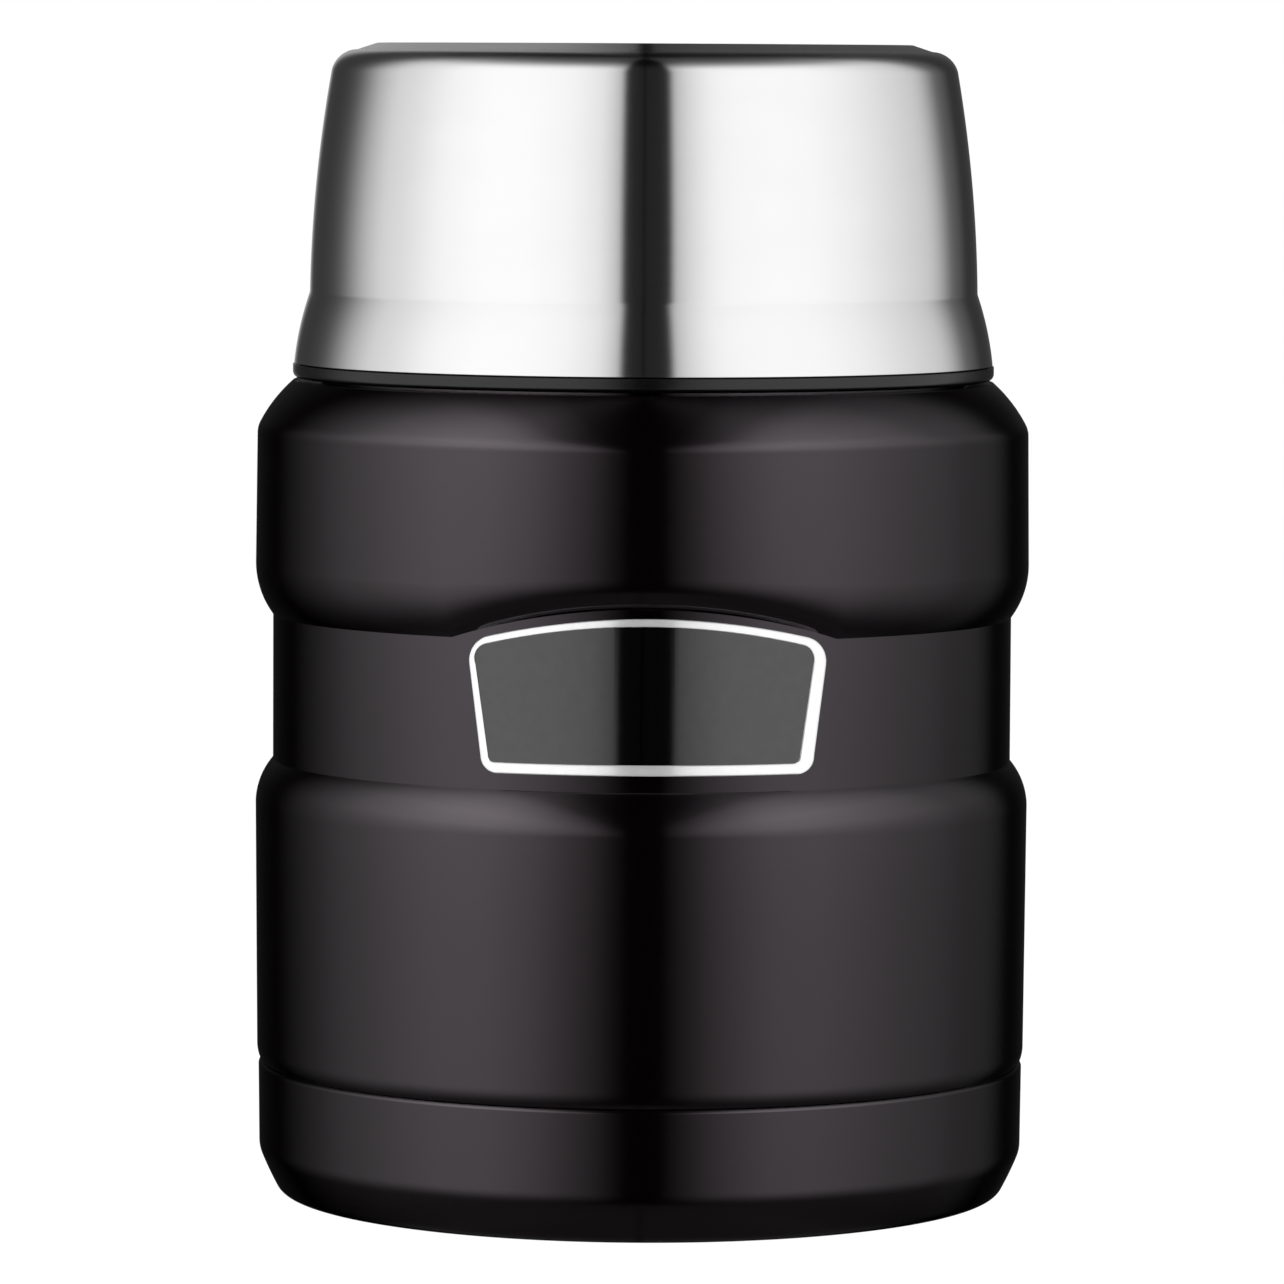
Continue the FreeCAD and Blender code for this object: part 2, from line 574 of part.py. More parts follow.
def badge_prism(doc, sheet, name, inset):
    """The badge's outline, inset all round, pushed through the front of the jar as a prism."""
    body = new_body(doc, name)
    slope = "( badge_top_half - badge_low_half ) / ( badge_corner - badge_low )"
    bend = f"( badge_round - {inset} )"
    low, top = f"badge_low_half - {inset}", f"badge_top_half - {inset}"
    bottom, side = f"badge_low + {inset}", "badge_corner - badge_round"
    arch = f"badge_corner + badge_shoulder - {inset}"
    corners = [
        (f"-1 * ( {low} - {bend} )", bottom),
        (f"{low} - {bend}", bottom, bend, -1),
        (f"{low} + {slope} * {bend}", f"{bottom} + {bend}"),
        (f"{top} - {slope} * {bend}", side, bend, -1),
        (f"{top} - {bend}", arch, "badge_arch_round", -1),
        (f"-1 * ( {top} - {bend} )", arch, bend, -1),
        (f"-1 * ( {top} - {slope} * {bend} )", side),
        (f"-1 * ( {low} + {slope} * {bend} )", f"{bottom} + {bend}", bend, -1),
    ]
    sketch = outline_sketch(body, sheet, f"{name}_outline", "XZ_Plane", corners)
    doc.recompute()
    pad = body.newObject("PartDesign::Pad", f"{name}_pad")
    pad.Profile = sketch
    pad.setExpression("Length", sized("2 * jar_radius"))
    pad.Reversed = False
    doc.recompute()
    if pad.Shape.BoundBox.YMin > -1:
        pad.Reversed = True
        doc.recompute()
    return body


def badge_ring(doc, name, inside, outside):
    """A tube about Z, between two radii given as sheet expressions."""
    tube = []
    for end, radius in (("out", outside), ("in", inside)):
        cylinder = doc.addObject("Part::Cylinder", f"{name}_{end}")
        cylinder.setExpression("Radius", sized(radius))
        cylinder.setExpression("Height", sized("shoulder_height"))
        tube.append(cylinder)
    ring = doc.addObject("Part::Cut", name)
    ring.Base, ring.Tool = tube
    return ring


def badge_layer(doc, sheet, label, inset, inside, outside):
    """One curved layer of the badge: its outline on the tube between two radii."""
    layer = doc.addObject("Part::Common", label)
    layer.Label = label
    layer.Base = badge_prism(doc, sheet, f"{label}_prism", inset)
    layer.Tool = badge_ring(doc, f"{label}_ring", inside, outside)
    doc.recompute()
    return layer


def make_badge(doc, sheet):
    waist = "jar_radius - waist_depth"
    back = f"{waist} + tape_thickness"
    face = f"{back} + badge_plate_thickness"
    floor = f"{face} - badge_infill_depth"
    tape = badge_layer(doc, sheet, "badge_tape", "tape_inset", waist, back)
    blank = badge_layer(doc, sheet, "badge_blank", "0", back, face)
    pocket = badge_layer(doc, sheet, "badge_pocket", "badge_border", floor, face)
    plate = doc.addObject("Part::Cut", "badge_plate")
    plate.Label = "badge_plate"
    plate.Base, plate.Tool = blank, pocket
    infill = badge_layer(
        doc, sheet, "badge_enamel", "badge_border", floor, f"{face} - badge_infill_drop"
    )
    doc.recompute()
    return tape, plate, infill


# Stopper


def make_stopper_shell(doc, sheet):
    """The plug, its nose and the threaded head, moulded in one, hollow and open at the top."""
    plug = "mouth_radius - plug_clearance"
    bearing = "ledge_height + seat_gap + gasket_thickness"
    nose = "ledge_height - nose_length"
    under = "lip_height + head_gap"
    corners = [
        ("0", nose),
        ("nose_radius", nose),
        ("nose_radius + bead_lip", f"{nose} + 0.5 * bead_lip_height"),
        ("nose_radius", f"{nose} + bead_lip_height"),
        ("nose_radius", bearing),
        (plug, bearing),
        (plug, under),
        ("head_radius", under),
        ("head_radius", "head_top"),
        (f"{plug} - plug_wall", "head_top"),
        (f"{plug} - plug_wall", f"{bearing} + plug_wall"),
        ("nose_radius - plug_wall", f"{bearing} + plug_wall"),
        ("nose_radius - plug_wall", f"{nose} + plug_wall"),
        ("0", f"{nose} + plug_wall"),
    ]
    body = turned_body(doc, sheet, "stopper_shell", corners)
    add_thread(
        doc, sheet, body, "plug_thread", plug, f"{plug} + thread_depth",
        "thread_low + thread_lead / 4", "thread_base", "thread_crest", "thread_lead", "thread_rise",
    )
    add_thread(
        doc, sheet, body, "head_thread", "head_radius", "head_radius + bowl_thread_depth",
        f"{under} + bowl_thread_start", "bowl_thread_base", "bowl_thread_crest",
        "bowl_thread_lead", "bowl_thread_rise",
    )
    return body


def make_stopper_gasket(doc, sheet):
    low = "ledge_height + seat_gap"
    outside = "mouth_radius - gasket_clearance"
    corners = [
        ("nose_radius", low),
        (f"{outside} - gasket_bevel", low),
        (outside, f"{low} + gasket_bevel_rise"),
        (outside, f"{low} + gasket_thickness - gasket_bevel_rise"),
        (f"{outside} - gasket_bevel", f"{low} + gasket_thickness"),
        ("nose_radius", f"{low} + gasket_thickness"),
    ]
    return turned_body(doc, sheet, "stopper_gasket", corners)


def make_stopper_foam(doc, sheet):
    plug = "mouth_radius - plug_clearance"
    bearing = "ledge_height + seat_gap + gasket_thickness"
    floor = "ledge_height - nose_length + plug_wall + foam_gap"
    top = "head_top - cap_skirt - foam_gap"
    corners = [
        ("0", floor),
        ("nose_radius - plug_wall - foam_gap", floor),
        ("nose_radius - plug_wall - foam_gap", f"{bearing} + plug_wall + foam_gap"),
        (f"{plug} - plug_wall - foam_gap", f"{bearing} + plug_wall + foam_gap"),
        (f"{plug} - plug_wall - foam_gap", top),
        ("0", top),
    ]
    return turned_body(doc, sheet, "stopper_foam", corners)


def make_stopper_cap(doc, sheet):
    """The welded top cover, with a grooved ring to grip."""
    seat = "head_top"
    face = f"{seat} + cap_thickness"
    inner = "mouth_radius - plug_clearance - plug_wall - cap_skirt_gap"
    corners = [
        ("0", seat),
        (f"{inner} - cap_skirt_wall", seat),
        (f"{inner} - cap_skirt_wall", f"{seat} - cap_skirt"),
        (inner, f"{seat} - cap_skirt"),
        (inner, seat),
        ("head_radius - cap_inset", seat),
        ("head_radius - cap_inset", f"{face} - cap_bevel"),
        ("grip_radius", face),
        ("grip_radius", f"{face} + grip_height - grip_bevel"),
        ("grip_radius - grip_bevel", f"{face} + grip_height"),
        ("grip_radius - grip_wall + grip_bevel", f"{face} + grip_height"),
        ("grip_radius - grip_wall", f"{face} + grip_height - grip_bevel"),
        ("grip_radius - grip_wall", face),
        ("0", face),
    ]
    body = turned_body(doc, sheet, "stopper_cap", corners)
    sketch = body.newObject("Sketcher::SketchObject", "groove_outline")
    sketch.AttachmentSupport = [(origin_part(body, "XY_Plane"), "")]
    sketch.MapMode = "FlatFace"
    sketch.setExpression("AttachmentOffset.Base.z", sized(face))
    away = "grip_radius + groove_radius - groove_depth"
    centre = FreeCAD.Vector(value_of(sheet, away), 0, 0)
    sketch.addGeometry(
        Part.Circle(centre, FreeCAD.Vector(0, 0, 1), value_of(sheet, "groove_radius"))
    )
    sketch.addConstraint(Sketcher.Constraint("PointOnObject", 0, 3, -1))
    index = sketch.addConstraint(Sketcher.Constraint("DistanceX", -1, 1, 0, 3, centre.x))
    sketch.setExpression(f"Constraints[{index}]", sized(away))
    index = sketch.addConstraint(
        Sketcher.Constraint("Radius", 0, value_of(sheet, "groove_radius"))
    )
    sketch.setExpression(f"Constraints[{index}]", sized("groove_radius"))
    doc.recompute()
    before = body.Shape.Volume
    groove = body.newObject("PartDesign::Pocket", "groove")
    groove.Profile = sketch
    groove.setExpression("Length", sized("2 * grip_height"))
    groove.Reversed = True
    doc.recompute()
    if not groove.Shape.Volume < before:
        raise ValueError("the grip groove cuts nothing")
    pattern = body.newObject("PartDesign::PolarPattern", "grooves")
    pattern.Originals = [groove]
    pattern.Axis = (sketch, ["N_Axis"])
    pattern.Angle = 360
    pattern.setExpression("Occurrences", sized("groove_count"))
    body.Tip = pattern
    doc.recompute()
    return body


# Serving bowl


def make_bowl_shell(doc, sheet):
    """The brushed steel outside of the bowl, seen as the jar's lid."""
    corners = [
        ("bowl_edge_radius", "bowl_edge", "bowl_flare_round", -1),
        ("bowl_step_radius", "bowl_step", "bowl_side_round", -1),
        ("bowl_side_radius", "bowl_side_top", "bowl_corner_round", -1),
        ("bowl_corner_radius", "bowl_corner_height"),
        ("bowl_flat_radius", "bowl_top"),
        ("0", "bowl_top"),
        ("0", "bowl_top - bowl_wall"),
        ("bowl_flat_radius", "bowl_top - bowl_wall"),
        (
            "bowl_corner_radius - corner_mitre", "bowl_corner_height - bowl_wall",
            "bowl_corner_round - bowl_wall", 1,
        ),
        (
            "bowl_side_radius - bowl_wall", "bowl_side_top - side_mitre",
            "bowl_side_round - bowl_wall", 1,
        ),
        (
            "bowl_step_radius - bowl_wall", "bowl_step",
            "bowl_flare_round - bowl_wall", 1,
        ),
        ("bowl_edge_radius - bowl_wall", "bowl_edge"),
    ]
    return turned_body(doc, sheet, "bowl_shell", corners)


def make_bowl_collar(doc, sheet):
    """The black rim ring and, in one moulding with it, the threaded collar inside the steel shell."""
    head = "lip_height + head_gap"
    gap = "( bowl_wall + collar_clearance )"
    corners = [
        ("collar_bore", "ring_bottom"),
        ("ring_radius - ring_round", "ring_bottom", "ring_round", -1),
        ("ring_radius", "ring_bottom + ring_round"),
        ("ring_radius", "bowl_edge - ring_lap"),
        (f"bowl_edge_radius - {gap}", "bowl_edge - ring_lap"),
        (f"bowl_edge_radius - {gap}", "bowl_edge"),
        ("collar_radius", "bowl_step - 2 * collar_clearance"),
        ("collar_radius", "collar_top"),
        ("thread_bore", "collar_top"),
        ("thread_bore", f"{head} - 0.5 * head_gap"),
        ("collar_bore", f"{head} - 1.5 * head_gap"),
    ]
    body = turned_body(doc, sheet, "bowl_collar", corners)
    add_thread(
        doc, sheet, body, "collar_thread", "thread_bore", "thread_bore - bowl_thread_depth",
        f"{head} + bowl_thread_start + bowl_thread_lead / 4",
        "bowl_thread_base", "bowl_thread_crest", "bowl_thread_lead", "collar_thread_rise",
    )
    return body


def make_bowl_seal(doc, sheet):
    corners = [
        ("thread_bore", "collar_top"),
        ("collar_radius - collar_clearance", "collar_top"),
        ("collar_radius - collar_clearance", "collar_top + ring_seal_height"),
        ("thread_bore", "collar_top + ring_seal_height"),
    ]
    return turned_body(doc, sheet, "bowl_seal_ring", corners)


def make_bowl_liner(doc, sheet):
    """The steel inside of the bowl. It hangs mouth down on the jar, so its floor is its highest part."""
    mouth = "collar_top + ring_seal_height"
    floor = "bowl_top - bowl_wall - liner_gap"
    inner = "liner_mouth - liner_taper"
    corners = [
        ("liner_mouth", mouth),
        ("liner_flange", mouth),
        ("liner_flange", f"{mouth} + bowl_wall"),
        ("liner_mouth + bowl_wall", f"{mouth} + bowl_wall"),
        (f"{inner} + bowl_wall", f"{floor} - liner_corner", "liner_corner", -1),
        (f"{inner} + bowl_wall - liner_corner", floor),
        ("0", floor),
        ("0", f"{floor} - bowl_wall"),
        (
            f"{inner} + bowl_wall - liner_corner", f"{floor} - bowl_wall",
            "liner_corner - bowl_wall", 1,
        ),
        (inner, f"{floor} - liner_corner"),
    ]
    return turned_body(doc, sheet, "bowl_liner", corners)


def make_all(doc, sheet):
    """Every sub-part of the jar, the stopper and the bowl."""
    made = [
        make_outer_shell(doc, sheet),
        make_base_cup(doc, sheet),
        make_base_disc(doc, sheet),
        make_port_bead(doc, sheet),
        make_vessel_wall(doc, sheet),
        make_vessel_bottom(doc, sheet),
        make_heat_shield(doc, sheet),
        make_stopper_shell(doc, sheet),
        make_stopper_gasket(doc, sheet),
        make_stopper_foam(doc, sheet),
        make_stopper_cap(doc, sheet),
        make_bowl_shell(doc, sheet),
        make_bowl_collar(doc, sheet),
        make_bowl_seal(doc, sheet),
        make_bowl_liner(doc, sheet),
    ]
    made += make_getter(doc, sheet)
    made += make_badge(doc, sheet)
    return made


def check_and_write(doc, pieces):
    """Stops if anything failed to build, then writes one STEP file for each sub-part."""
    doc.recompute()
    failed = [o.Name for o in doc.Objects if "Invalid" in o.State or "Error" in o.State]
    if failed:
        raise ValueError(f"these objects failed to build: {failed}")
    for piece in pieces:
        shape = piece.Shape
        if shape.isNull() or not shape.isValid() or not shape.Solids:
            raise ValueError(f"{piece.Label} has no valid solid")
    os.makedirs(PARTS, exist_ok=True)
    for piece in pieces:
        piece.Shape.exportStep(os.path.join(PARTS, piece.Label + ".step"))


def main():
    doc, sheet = new_document()
    pieces = make_all(doc, sheet)
    check_and_write(doc, pieces)


main()
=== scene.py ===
"""The looks of an insulated food jar: a black lacquered body, a brushed steel serving bowl screwed on as
its lid, a black rim ring and a bare badge plate. Lengths are in metres, the origin is at the middle of the
foot, +Z is up and the badge faces -Y."""

import math

import bmesh
import bpy
from mathutils import Euler, Matrix, Vector


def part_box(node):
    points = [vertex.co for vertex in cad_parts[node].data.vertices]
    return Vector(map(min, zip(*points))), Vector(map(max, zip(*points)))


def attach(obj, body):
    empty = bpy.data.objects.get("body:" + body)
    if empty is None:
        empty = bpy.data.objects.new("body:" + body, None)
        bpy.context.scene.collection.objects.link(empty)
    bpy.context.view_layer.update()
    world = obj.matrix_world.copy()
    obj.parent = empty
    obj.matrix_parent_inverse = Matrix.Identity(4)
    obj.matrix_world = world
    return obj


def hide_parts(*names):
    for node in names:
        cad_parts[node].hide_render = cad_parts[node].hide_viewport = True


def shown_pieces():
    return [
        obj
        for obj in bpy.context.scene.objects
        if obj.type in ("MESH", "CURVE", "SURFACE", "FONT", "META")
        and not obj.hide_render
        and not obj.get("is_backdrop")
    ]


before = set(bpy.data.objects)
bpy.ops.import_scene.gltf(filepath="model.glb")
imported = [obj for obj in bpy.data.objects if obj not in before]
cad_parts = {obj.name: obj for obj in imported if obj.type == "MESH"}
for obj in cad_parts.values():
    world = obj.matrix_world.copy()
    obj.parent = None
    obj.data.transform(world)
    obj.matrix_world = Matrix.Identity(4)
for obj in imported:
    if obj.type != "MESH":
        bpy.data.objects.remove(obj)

bl_info = {
    "name": "Insulated food jar",
    "version": (1, 0, 0),
    "blender": (4, 5, 0),
    "location": "View3D > Sidebar > Food jar",
    "description": "Builds the pieces, finishes and stage of an insulated food jar",
    "category": "Add Mesh",
}

MM = 0.001
IMAGE_WIDTH = 1284

# Steps round the axis of a turned piece, and the longest step along an arc in its outline, in millimetres
# and as a turn.
TURN_STEPS, SHELL_STEPS, INNER_STEPS, HIDDEN_STEPS = 360, 480, 256, 192
ARC_STEP, ARC_TURN = 0.35, math.radians(8)

# Corners that turn by more are rounded, and edges that still turn by more are drawn sharp.
BEVEL_ANGLE, SHARP_ANGLE = math.radians(14), math.radians(12)
EDGE_STEPS = 3

# Axes and ends of a node's box.
X, Z = 0, 2
LOW, HIGH = 0, 1


def cad(node, axis, end):
    """Where a CAD node ends along an axis, in millimetres and to a tenth."""
    return round(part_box(node)[end][axis] / MM, 1)


# Outlines, in millimetres


def arc_points(start, end, radius, bulge):
    """Points from start to just before end. A bulge of 1 bends to the left, and -1 to the right."""
    a, b = Vector(start), Vector(end)
    half = (b - a).length / 2
    normal = Vector((-(b - a).y, (b - a).x)).normalized() * bulge
    centre = (a + b) / 2 - normal * math.sqrt(max(radius**2 - half**2, 0.0))
    first = math.atan2(a.y - centre.y, a.x - centre.x)
    last = math.atan2(b.y - centre.y, b.x - centre.x)
    turn = (last - first + math.pi) % (2 * math.pi) - math.pi
    steps = max(2, math.ceil(abs(turn) * radius / ARC_STEP), math.ceil(abs(turn) / ARC_TURN))
    return [
        (centre.x + radius * math.cos(first + turn * i / steps),
         centre.y + radius * math.sin(first + turn * i / steps))
        for i in range(steps)
    ]


def outline(corners):
    """A closed outline's points. A corner is (radius, height), or (radius, height, arc radius, bulge)
    where the way to the next corner is an arc."""
    points = []
    for i, corner in enumerate(corners):
        here, there = corner[:2], corners[(i + 1) % len(corners)][:2]
        if len(corner) == 4:
            points += arc_points(here, there, corner[2], corner[3])
        else:
            points.append(here)
    return points


def level(stops, value):
    """The level at a value, on straight lines between stops."""
    if value <= stops[0][0]:
        return stops[0][1]
    for (a, low), (b, high) in zip(stops, stops[1:]):
        if value <= b:
            return low + (high - low) * (value - a) / (b - a)
    return stops[-1][1]


# Meshes


def shade(bm):
    """Smooth faces with sharp edges where the surface turns a corner."""
    for face in bm.faces:
        face.smooth = True
    for edge in bm.edges:
        if len(edge.link_faces) == 2:
            edge.smooth = edge.calc_face_angle(0.0) < SHARP_ANGLE


def soften(bm, size):
    """Rounds the crisp corners by a small radius in millimetres."""
    crisp = [
        e for e in bm.edges if len(e.link_faces) == 2 and e.calc_face_angle(0.0) > BEVEL_ANGLE
    ]
    bmesh.ops.bevel(
        bm, geom=crisp, offset=size, offset_type="OFFSET", segments=EDGE_STEPS, profile=0.5,
        affect="EDGES", clamp_overlap=True, material=-1,
    )


def add_piece(bm, name, body, node, material):
    """Turns a mesh in millimetres into a piece in metres that rides on a body and replaces a CAD node."""
    bmesh.ops.recalc_face_normals(bm, faces=bm.faces)
    shade(bm)
    bmesh.ops.scale(bm, vec=(MM, MM, MM), verts=bm.verts)
    mesh = bpy.data.meshes.new(name)
    bm.to_mesh(mesh)
    bm.free()
    obj = bpy.data.objects.new(name, mesh)
    bpy.context.scene.collection.objects.link(obj)
    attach(obj, body)
    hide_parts(node)
    dress(obj, material)
    return obj


def dress(obj, material):
    obj.data.materials.clear()
    obj.data.materials.append(material)


def turned(corners, softness, steps=TURN_STEPS):
    """A solid turned about Z from its closed outline, with its corners softened by a radius."""
    bm = bmesh.new()
    verts = [bm.verts.new((r, 0, z)) for r, z in outline(corners)]
    edges = []
    for vert, after in zip(verts, verts[1:] + verts[:1]):
        on_axis = vert.co.x == 0 and after.co.x == 0
        if not on_axis:
            edges.append(bm.edges.new((vert, after)))
    bmesh.ops.spin(
        bm, geom=verts + edges, cent=(0, 0, 0), axis=(0, 0, 1), angle=2 * math.pi,
        steps=steps, use_merge=True, use_duplicate=False,
    )
    bmesh.ops.remove_doubles(bm, verts=bm.verts, dist=1e-4)
    bmesh.ops.recalc_face_normals(bm, faces=bm.faces)
    if softness:
        soften(bm, softness)
    return bm


def add_threads(bm, wall, height, low, rise, thread):
    """Two screw thread ridges, each a trapezoid section swept up a helix, with tapered ends. A ridge of
    negative height stands inwards from its wall."""
    base, tip, lead = thread
    starts, per_turn, fade, stub = 2, 180, 7, 0.15
    foot = wall - math.copysign(0.25, height)
    steps = int(per_turn * rise / lead)
    for start in range(starts):
        rows = []
        for i in range(steps + 1):
            angle = 2 * math.pi * (i / per_turn + start / starts)
            middle = low + lead * i / per_turn
            full = min(1.0, (i + stub) / fade, (steps - i + stub) / fade)
            crest = wall + height * full
            section = (
                (foot, -base / 2), (wall, -base / 2), (crest, -tip / 2),
                (crest, tip / 2), (wall, base / 2), (foot, base / 2),
            )
            rows.append([
                bm.verts.new((r * math.cos(angle), r * math.sin(angle), middle + z))
                for r, z in section
            ])
        for lower, upper in zip(rows, rows[1:]):
            for j in range(len(lower)):
                k = (j + 1) % len(lower)
                bm.faces.new((lower[j], lower[k], upper[k], upper[j]))
        bm.faces.new(rows[0])
        bm.faces.new(rows[-1])


# Finishes


def grey(value):
    return (value, value, value)


def toned(colour, share):
    return tuple(value * share for value in colour)


class Nodes:
    """A short way to write a node tree."""

    def __init__(self, tree):
        self.tree = tree
        tree.nodes.clear()

    def add(self, kind, **settings):
        node = self.tree.nodes.new(kind)
        for key, value in settings.items():
            setattr(node, key, value)
        return node

    def link(self, source, target):
        self.tree.links.new(source, target)

    def math(self, operation, a, b):
        node = self.add("ShaderNodeMath", operation=operation)
        for socket, value in zip(node.inputs, (a, b)):
            if isinstance(value, (int, float)):
                socket.default_value = value
            else:
                self.link(value, socket)
        return node.outputs["Value"]

    def light(self, kind, colour, strength=None):
        """The output of a plain shader in one colour."""
        node = self.add(kind)
        node.inputs["Color"].default_value = (*colour, 1)
        if strength is not None:
            node.inputs["Strength"].default_value = strength
        return node.outputs[0]

    def between(self, share, first, second):
        """The first shader where share is 0, and the second where it is 1."""
        node = self.add("ShaderNodeMixShader")
        for socket, source in zip(node.inputs, (share, first, second)):
            self.link(source, socket)
        return node.outputs[0]


class Finish(Nodes):
    """A piece's material: a Principled shader with patterns on the piece's own coordinates. Its uniform
    values are given by socket name, with underscores for spaces."""

    def __init__(self, name, **values):
        self.material = bpy.data.materials.new(name)
        self.material.use_nodes = True
        super().__init__(self.material.node_tree)
        self.shader = self.add("ShaderNodeBsdfPrincipled")
        output = self.add("ShaderNodeOutputMaterial")
        self.link(self.shader.outputs["BSDF"], output.inputs["Surface"])
        self.coords = self.add("ShaderNodeTexCoord").outputs["Object"]
        for key, value in values.items():
            self.shader.inputs[key.replace("_", " ")].default_value = value

    def round_axis(self, around, along, outward):
        """Coordinates that wind round Z: turned angle, height and radius, each with its own scale."""
        split = self.add("ShaderNodeSeparateXYZ")
        self.link(self.coords, split.inputs["Vector"])
        flat = self.add("ShaderNodeCombineXYZ")
        self.link(split.outputs["X"], flat.inputs["X"])
        self.link(split.outputs["Y"], flat.inputs["Y"])
        unit = self.add("ShaderNodeVectorMath", operation="NORMALIZE")
        self.link(flat.outputs["Vector"], unit.inputs[0])
        ring = self.add("ShaderNodeVectorMath", operation="SCALE")
        self.link(unit.outputs["Vector"], ring.inputs[0])
        ring.inputs["Scale"].default_value = around
        radius = self.add("ShaderNodeVectorMath", operation="LENGTH")
        self.link(flat.outputs["Vector"], radius.inputs[0])
        height = self.math("MULTIPLY", split.outputs["Z"], along)
        height = self.math("ADD", height, self.math("MULTIPLY", radius.outputs["Value"], outward))
        lift = self.add("ShaderNodeCombineXYZ")
        self.link(height, lift.inputs["Z"])
        total = self.add("ShaderNodeVectorMath", operation="ADD")
        self.link(ring.outputs["Vector"], total.inputs[0])
        self.link(lift.outputs["Vector"], total.inputs[1])
        return total.outputs["Vector"]

    def noise(self, vector, scale, detail, roughness=0.5):
        node = self.add("ShaderNodeTexNoise")
        node.inputs["Scale"].default_value = scale
        node.inputs["Detail"].default_value = detail
        node.inputs["Roughness"].default_value = roughness
        self.link(vector, node.inputs["Vector"])
        return node.outputs["Fac"]

    def colour(self, pattern, dark, light):
        node = self.add("ShaderNodeMix", data_type="RGBA")
        share, first, second = node.inputs[0], node.inputs[6], node.inputs[7]
        first.default_value = (*dark, 1)
        second.default_value = (*light, 1)
        self.link(pattern, share)
        self.link(node.outputs[2], self.shader.inputs["Base Color"])

    def roughness(self, pattern, low, high):
        node = self.add("ShaderNodeMapRange")
        node.inputs["To Min"].default_value = low
        node.inputs["To Max"].default_value = high
        self.link(pattern, node.inputs["Value"])
        self.link(node.outputs["Result"], self.shader.inputs["Roughness"])

    def bump(self, height, distance, strength):
        node = self.add("ShaderNodeBump")
        node.inputs["Distance"].default_value = distance
        node.inputs["Strength"].default_value = strength
        self.link(height, node.inputs["Height"])
        self.link(node.outputs["Normal"], self.shader.inputs["Normal"])

    def circular_tangent(self):
        """The shader's tangent runs round Z, as the marks of a brush do on a turned piece."""
        cross = self.add("ShaderNodeVectorMath", operation="CROSS_PRODUCT")
        cross.inputs[0].default_value = (0, 0, 1)
        self.link(self.coords, cross.inputs[1])
        turn = self.add(
            "ShaderNodeVectorTransform", vector_type="VECTOR", convert_from="OBJECT", convert_to="WORLD"
        )
        self.link(cross.outputs["Vector"], turn.inputs["Vector"])
        self.link(turn.outputs["Vector"], self.shader.inputs["Tangent"])


def brushed_steel(name, colour, rough, spread, anisotropy):
    """Steel with fine brush marks round its axis."""
    n = Finish(name, Metallic=1.0, Anisotropic=anisotropy, Anisotropic_Rotation=0.25)
    fine = n.noise(n.round_axis(0.35, 260.0, 260.0), 22.0, 3.0, 0.6)
    broad = n.noise(n.round_axis(0.5, 40.0, 40.0), 6.0, 2.0)
    n.colour(broad, toned(colour, 0.98), toned(colour, 1.02))
    n.roughness(fine, rough - spread, rough + spread)
    n.bump(fine, 0.000006, 0.4)
    n.circular_tangent()
    return n.material


def inner_steel(name):
    """The softer brushing of the vessel and the bowl's inside."""
    return brushed_steel(name, colours().inner_steel, 0.22, 0.04, 0.5)


def black_lacquer(name):
    """Clear gloss over black paint that lets the brushing of the steel show faintly."""
    n = Finish(name, IOR=1.5, Specular_Tint=(*colours().lacquer_gloss, 1.0))
    fine = n.noise(n.round_axis(0.5, 120.0, 60.0), 20.0, 3.0, 0.6)
    flake = n.noise(n.coords, 1400.0, 1.0)
    n.colour(flake, colours().lacquer, colours().lacquer_flakes)
    n.roughness(fine, 0.08, 0.13)
    n.bump(fine, 0.000008, 0.4)
    return n.material


def plastic(name, dark, light, rough=0.42, bump=0.00002, gloss=0.5):
    """Moulded plastic with a fine grain."""
    n = Finish(name, Specular_IOR_Level=gloss)
    grains = n.noise(n.coords, 900.0, 3.0)
    n.colour(grains, dark, light)
    n.roughness(grains, rough - 0.05, rough + 0.05)
    n.bump(grains, bump, 0.3)
    return n.material


def metal(name, dark, light, rough, grain=500.0):
    """Plain metal with a slightly uneven polish."""
    n = Finish(name, Metallic=1.0)
    patches = n.noise(n.coords, grain, 2.0)
    n.colour(patches, dark, light)
    n.roughness(patches, rough * 0.8, rough * 1.2)
    return n.material


def satin_silver(name):
    """Bright plating with a satin haze: half of it mirrors, and half scatters."""
    n = Finish(name, Metallic=0.5)
    cloud = n.noise(n.coords, 700.0, 2.0)
    n.colour(cloud, toned(colours().badge_border, 0.9), colours().badge_border)
    n.roughness(cloud, 0.10, 0.16)
    return n.material


# Sizes in millimetres, and colours


def length(name, description, default):
    return bpy.props.FloatProperty(name=name, description=description, default=default, min=0.0)


def colour(name, description, default):
    return bpy.props.FloatVectorProperty(
        name=name, description=description, default=default, subtype="COLOR", min=0.0, max=1.0)


class JarSizes(bpy.types.PropertyGroup):
    """The sizes shared by several pieces, in millimetres."""

    body_radius: length("Body radius", "Widest radius of the painted body", cad("outer_shell", X, HIGH))
    waist_depth: length("Waist depth", "How deep the waist band is pressed in", 2.1)
    arch_rise: length("Arch rise", "How far the waist's top edge rises over the badge", 3.7)
    arch_half: length("Arch half-width", "Half the arch's width round the waist", 23.5)
    seam: length("Seam height", "Weld between the shell and the base cup", cad("outer_shell", Z, LOW))
    neck: length("Neck radius", "Outside of the neck", 38.6)
    lip: length("Lip height", "Top of the lip", cad("vessel_wall", Z, HIGH))
    mouth: length("Mouth radius", "Inside of the mouth", 35.5)


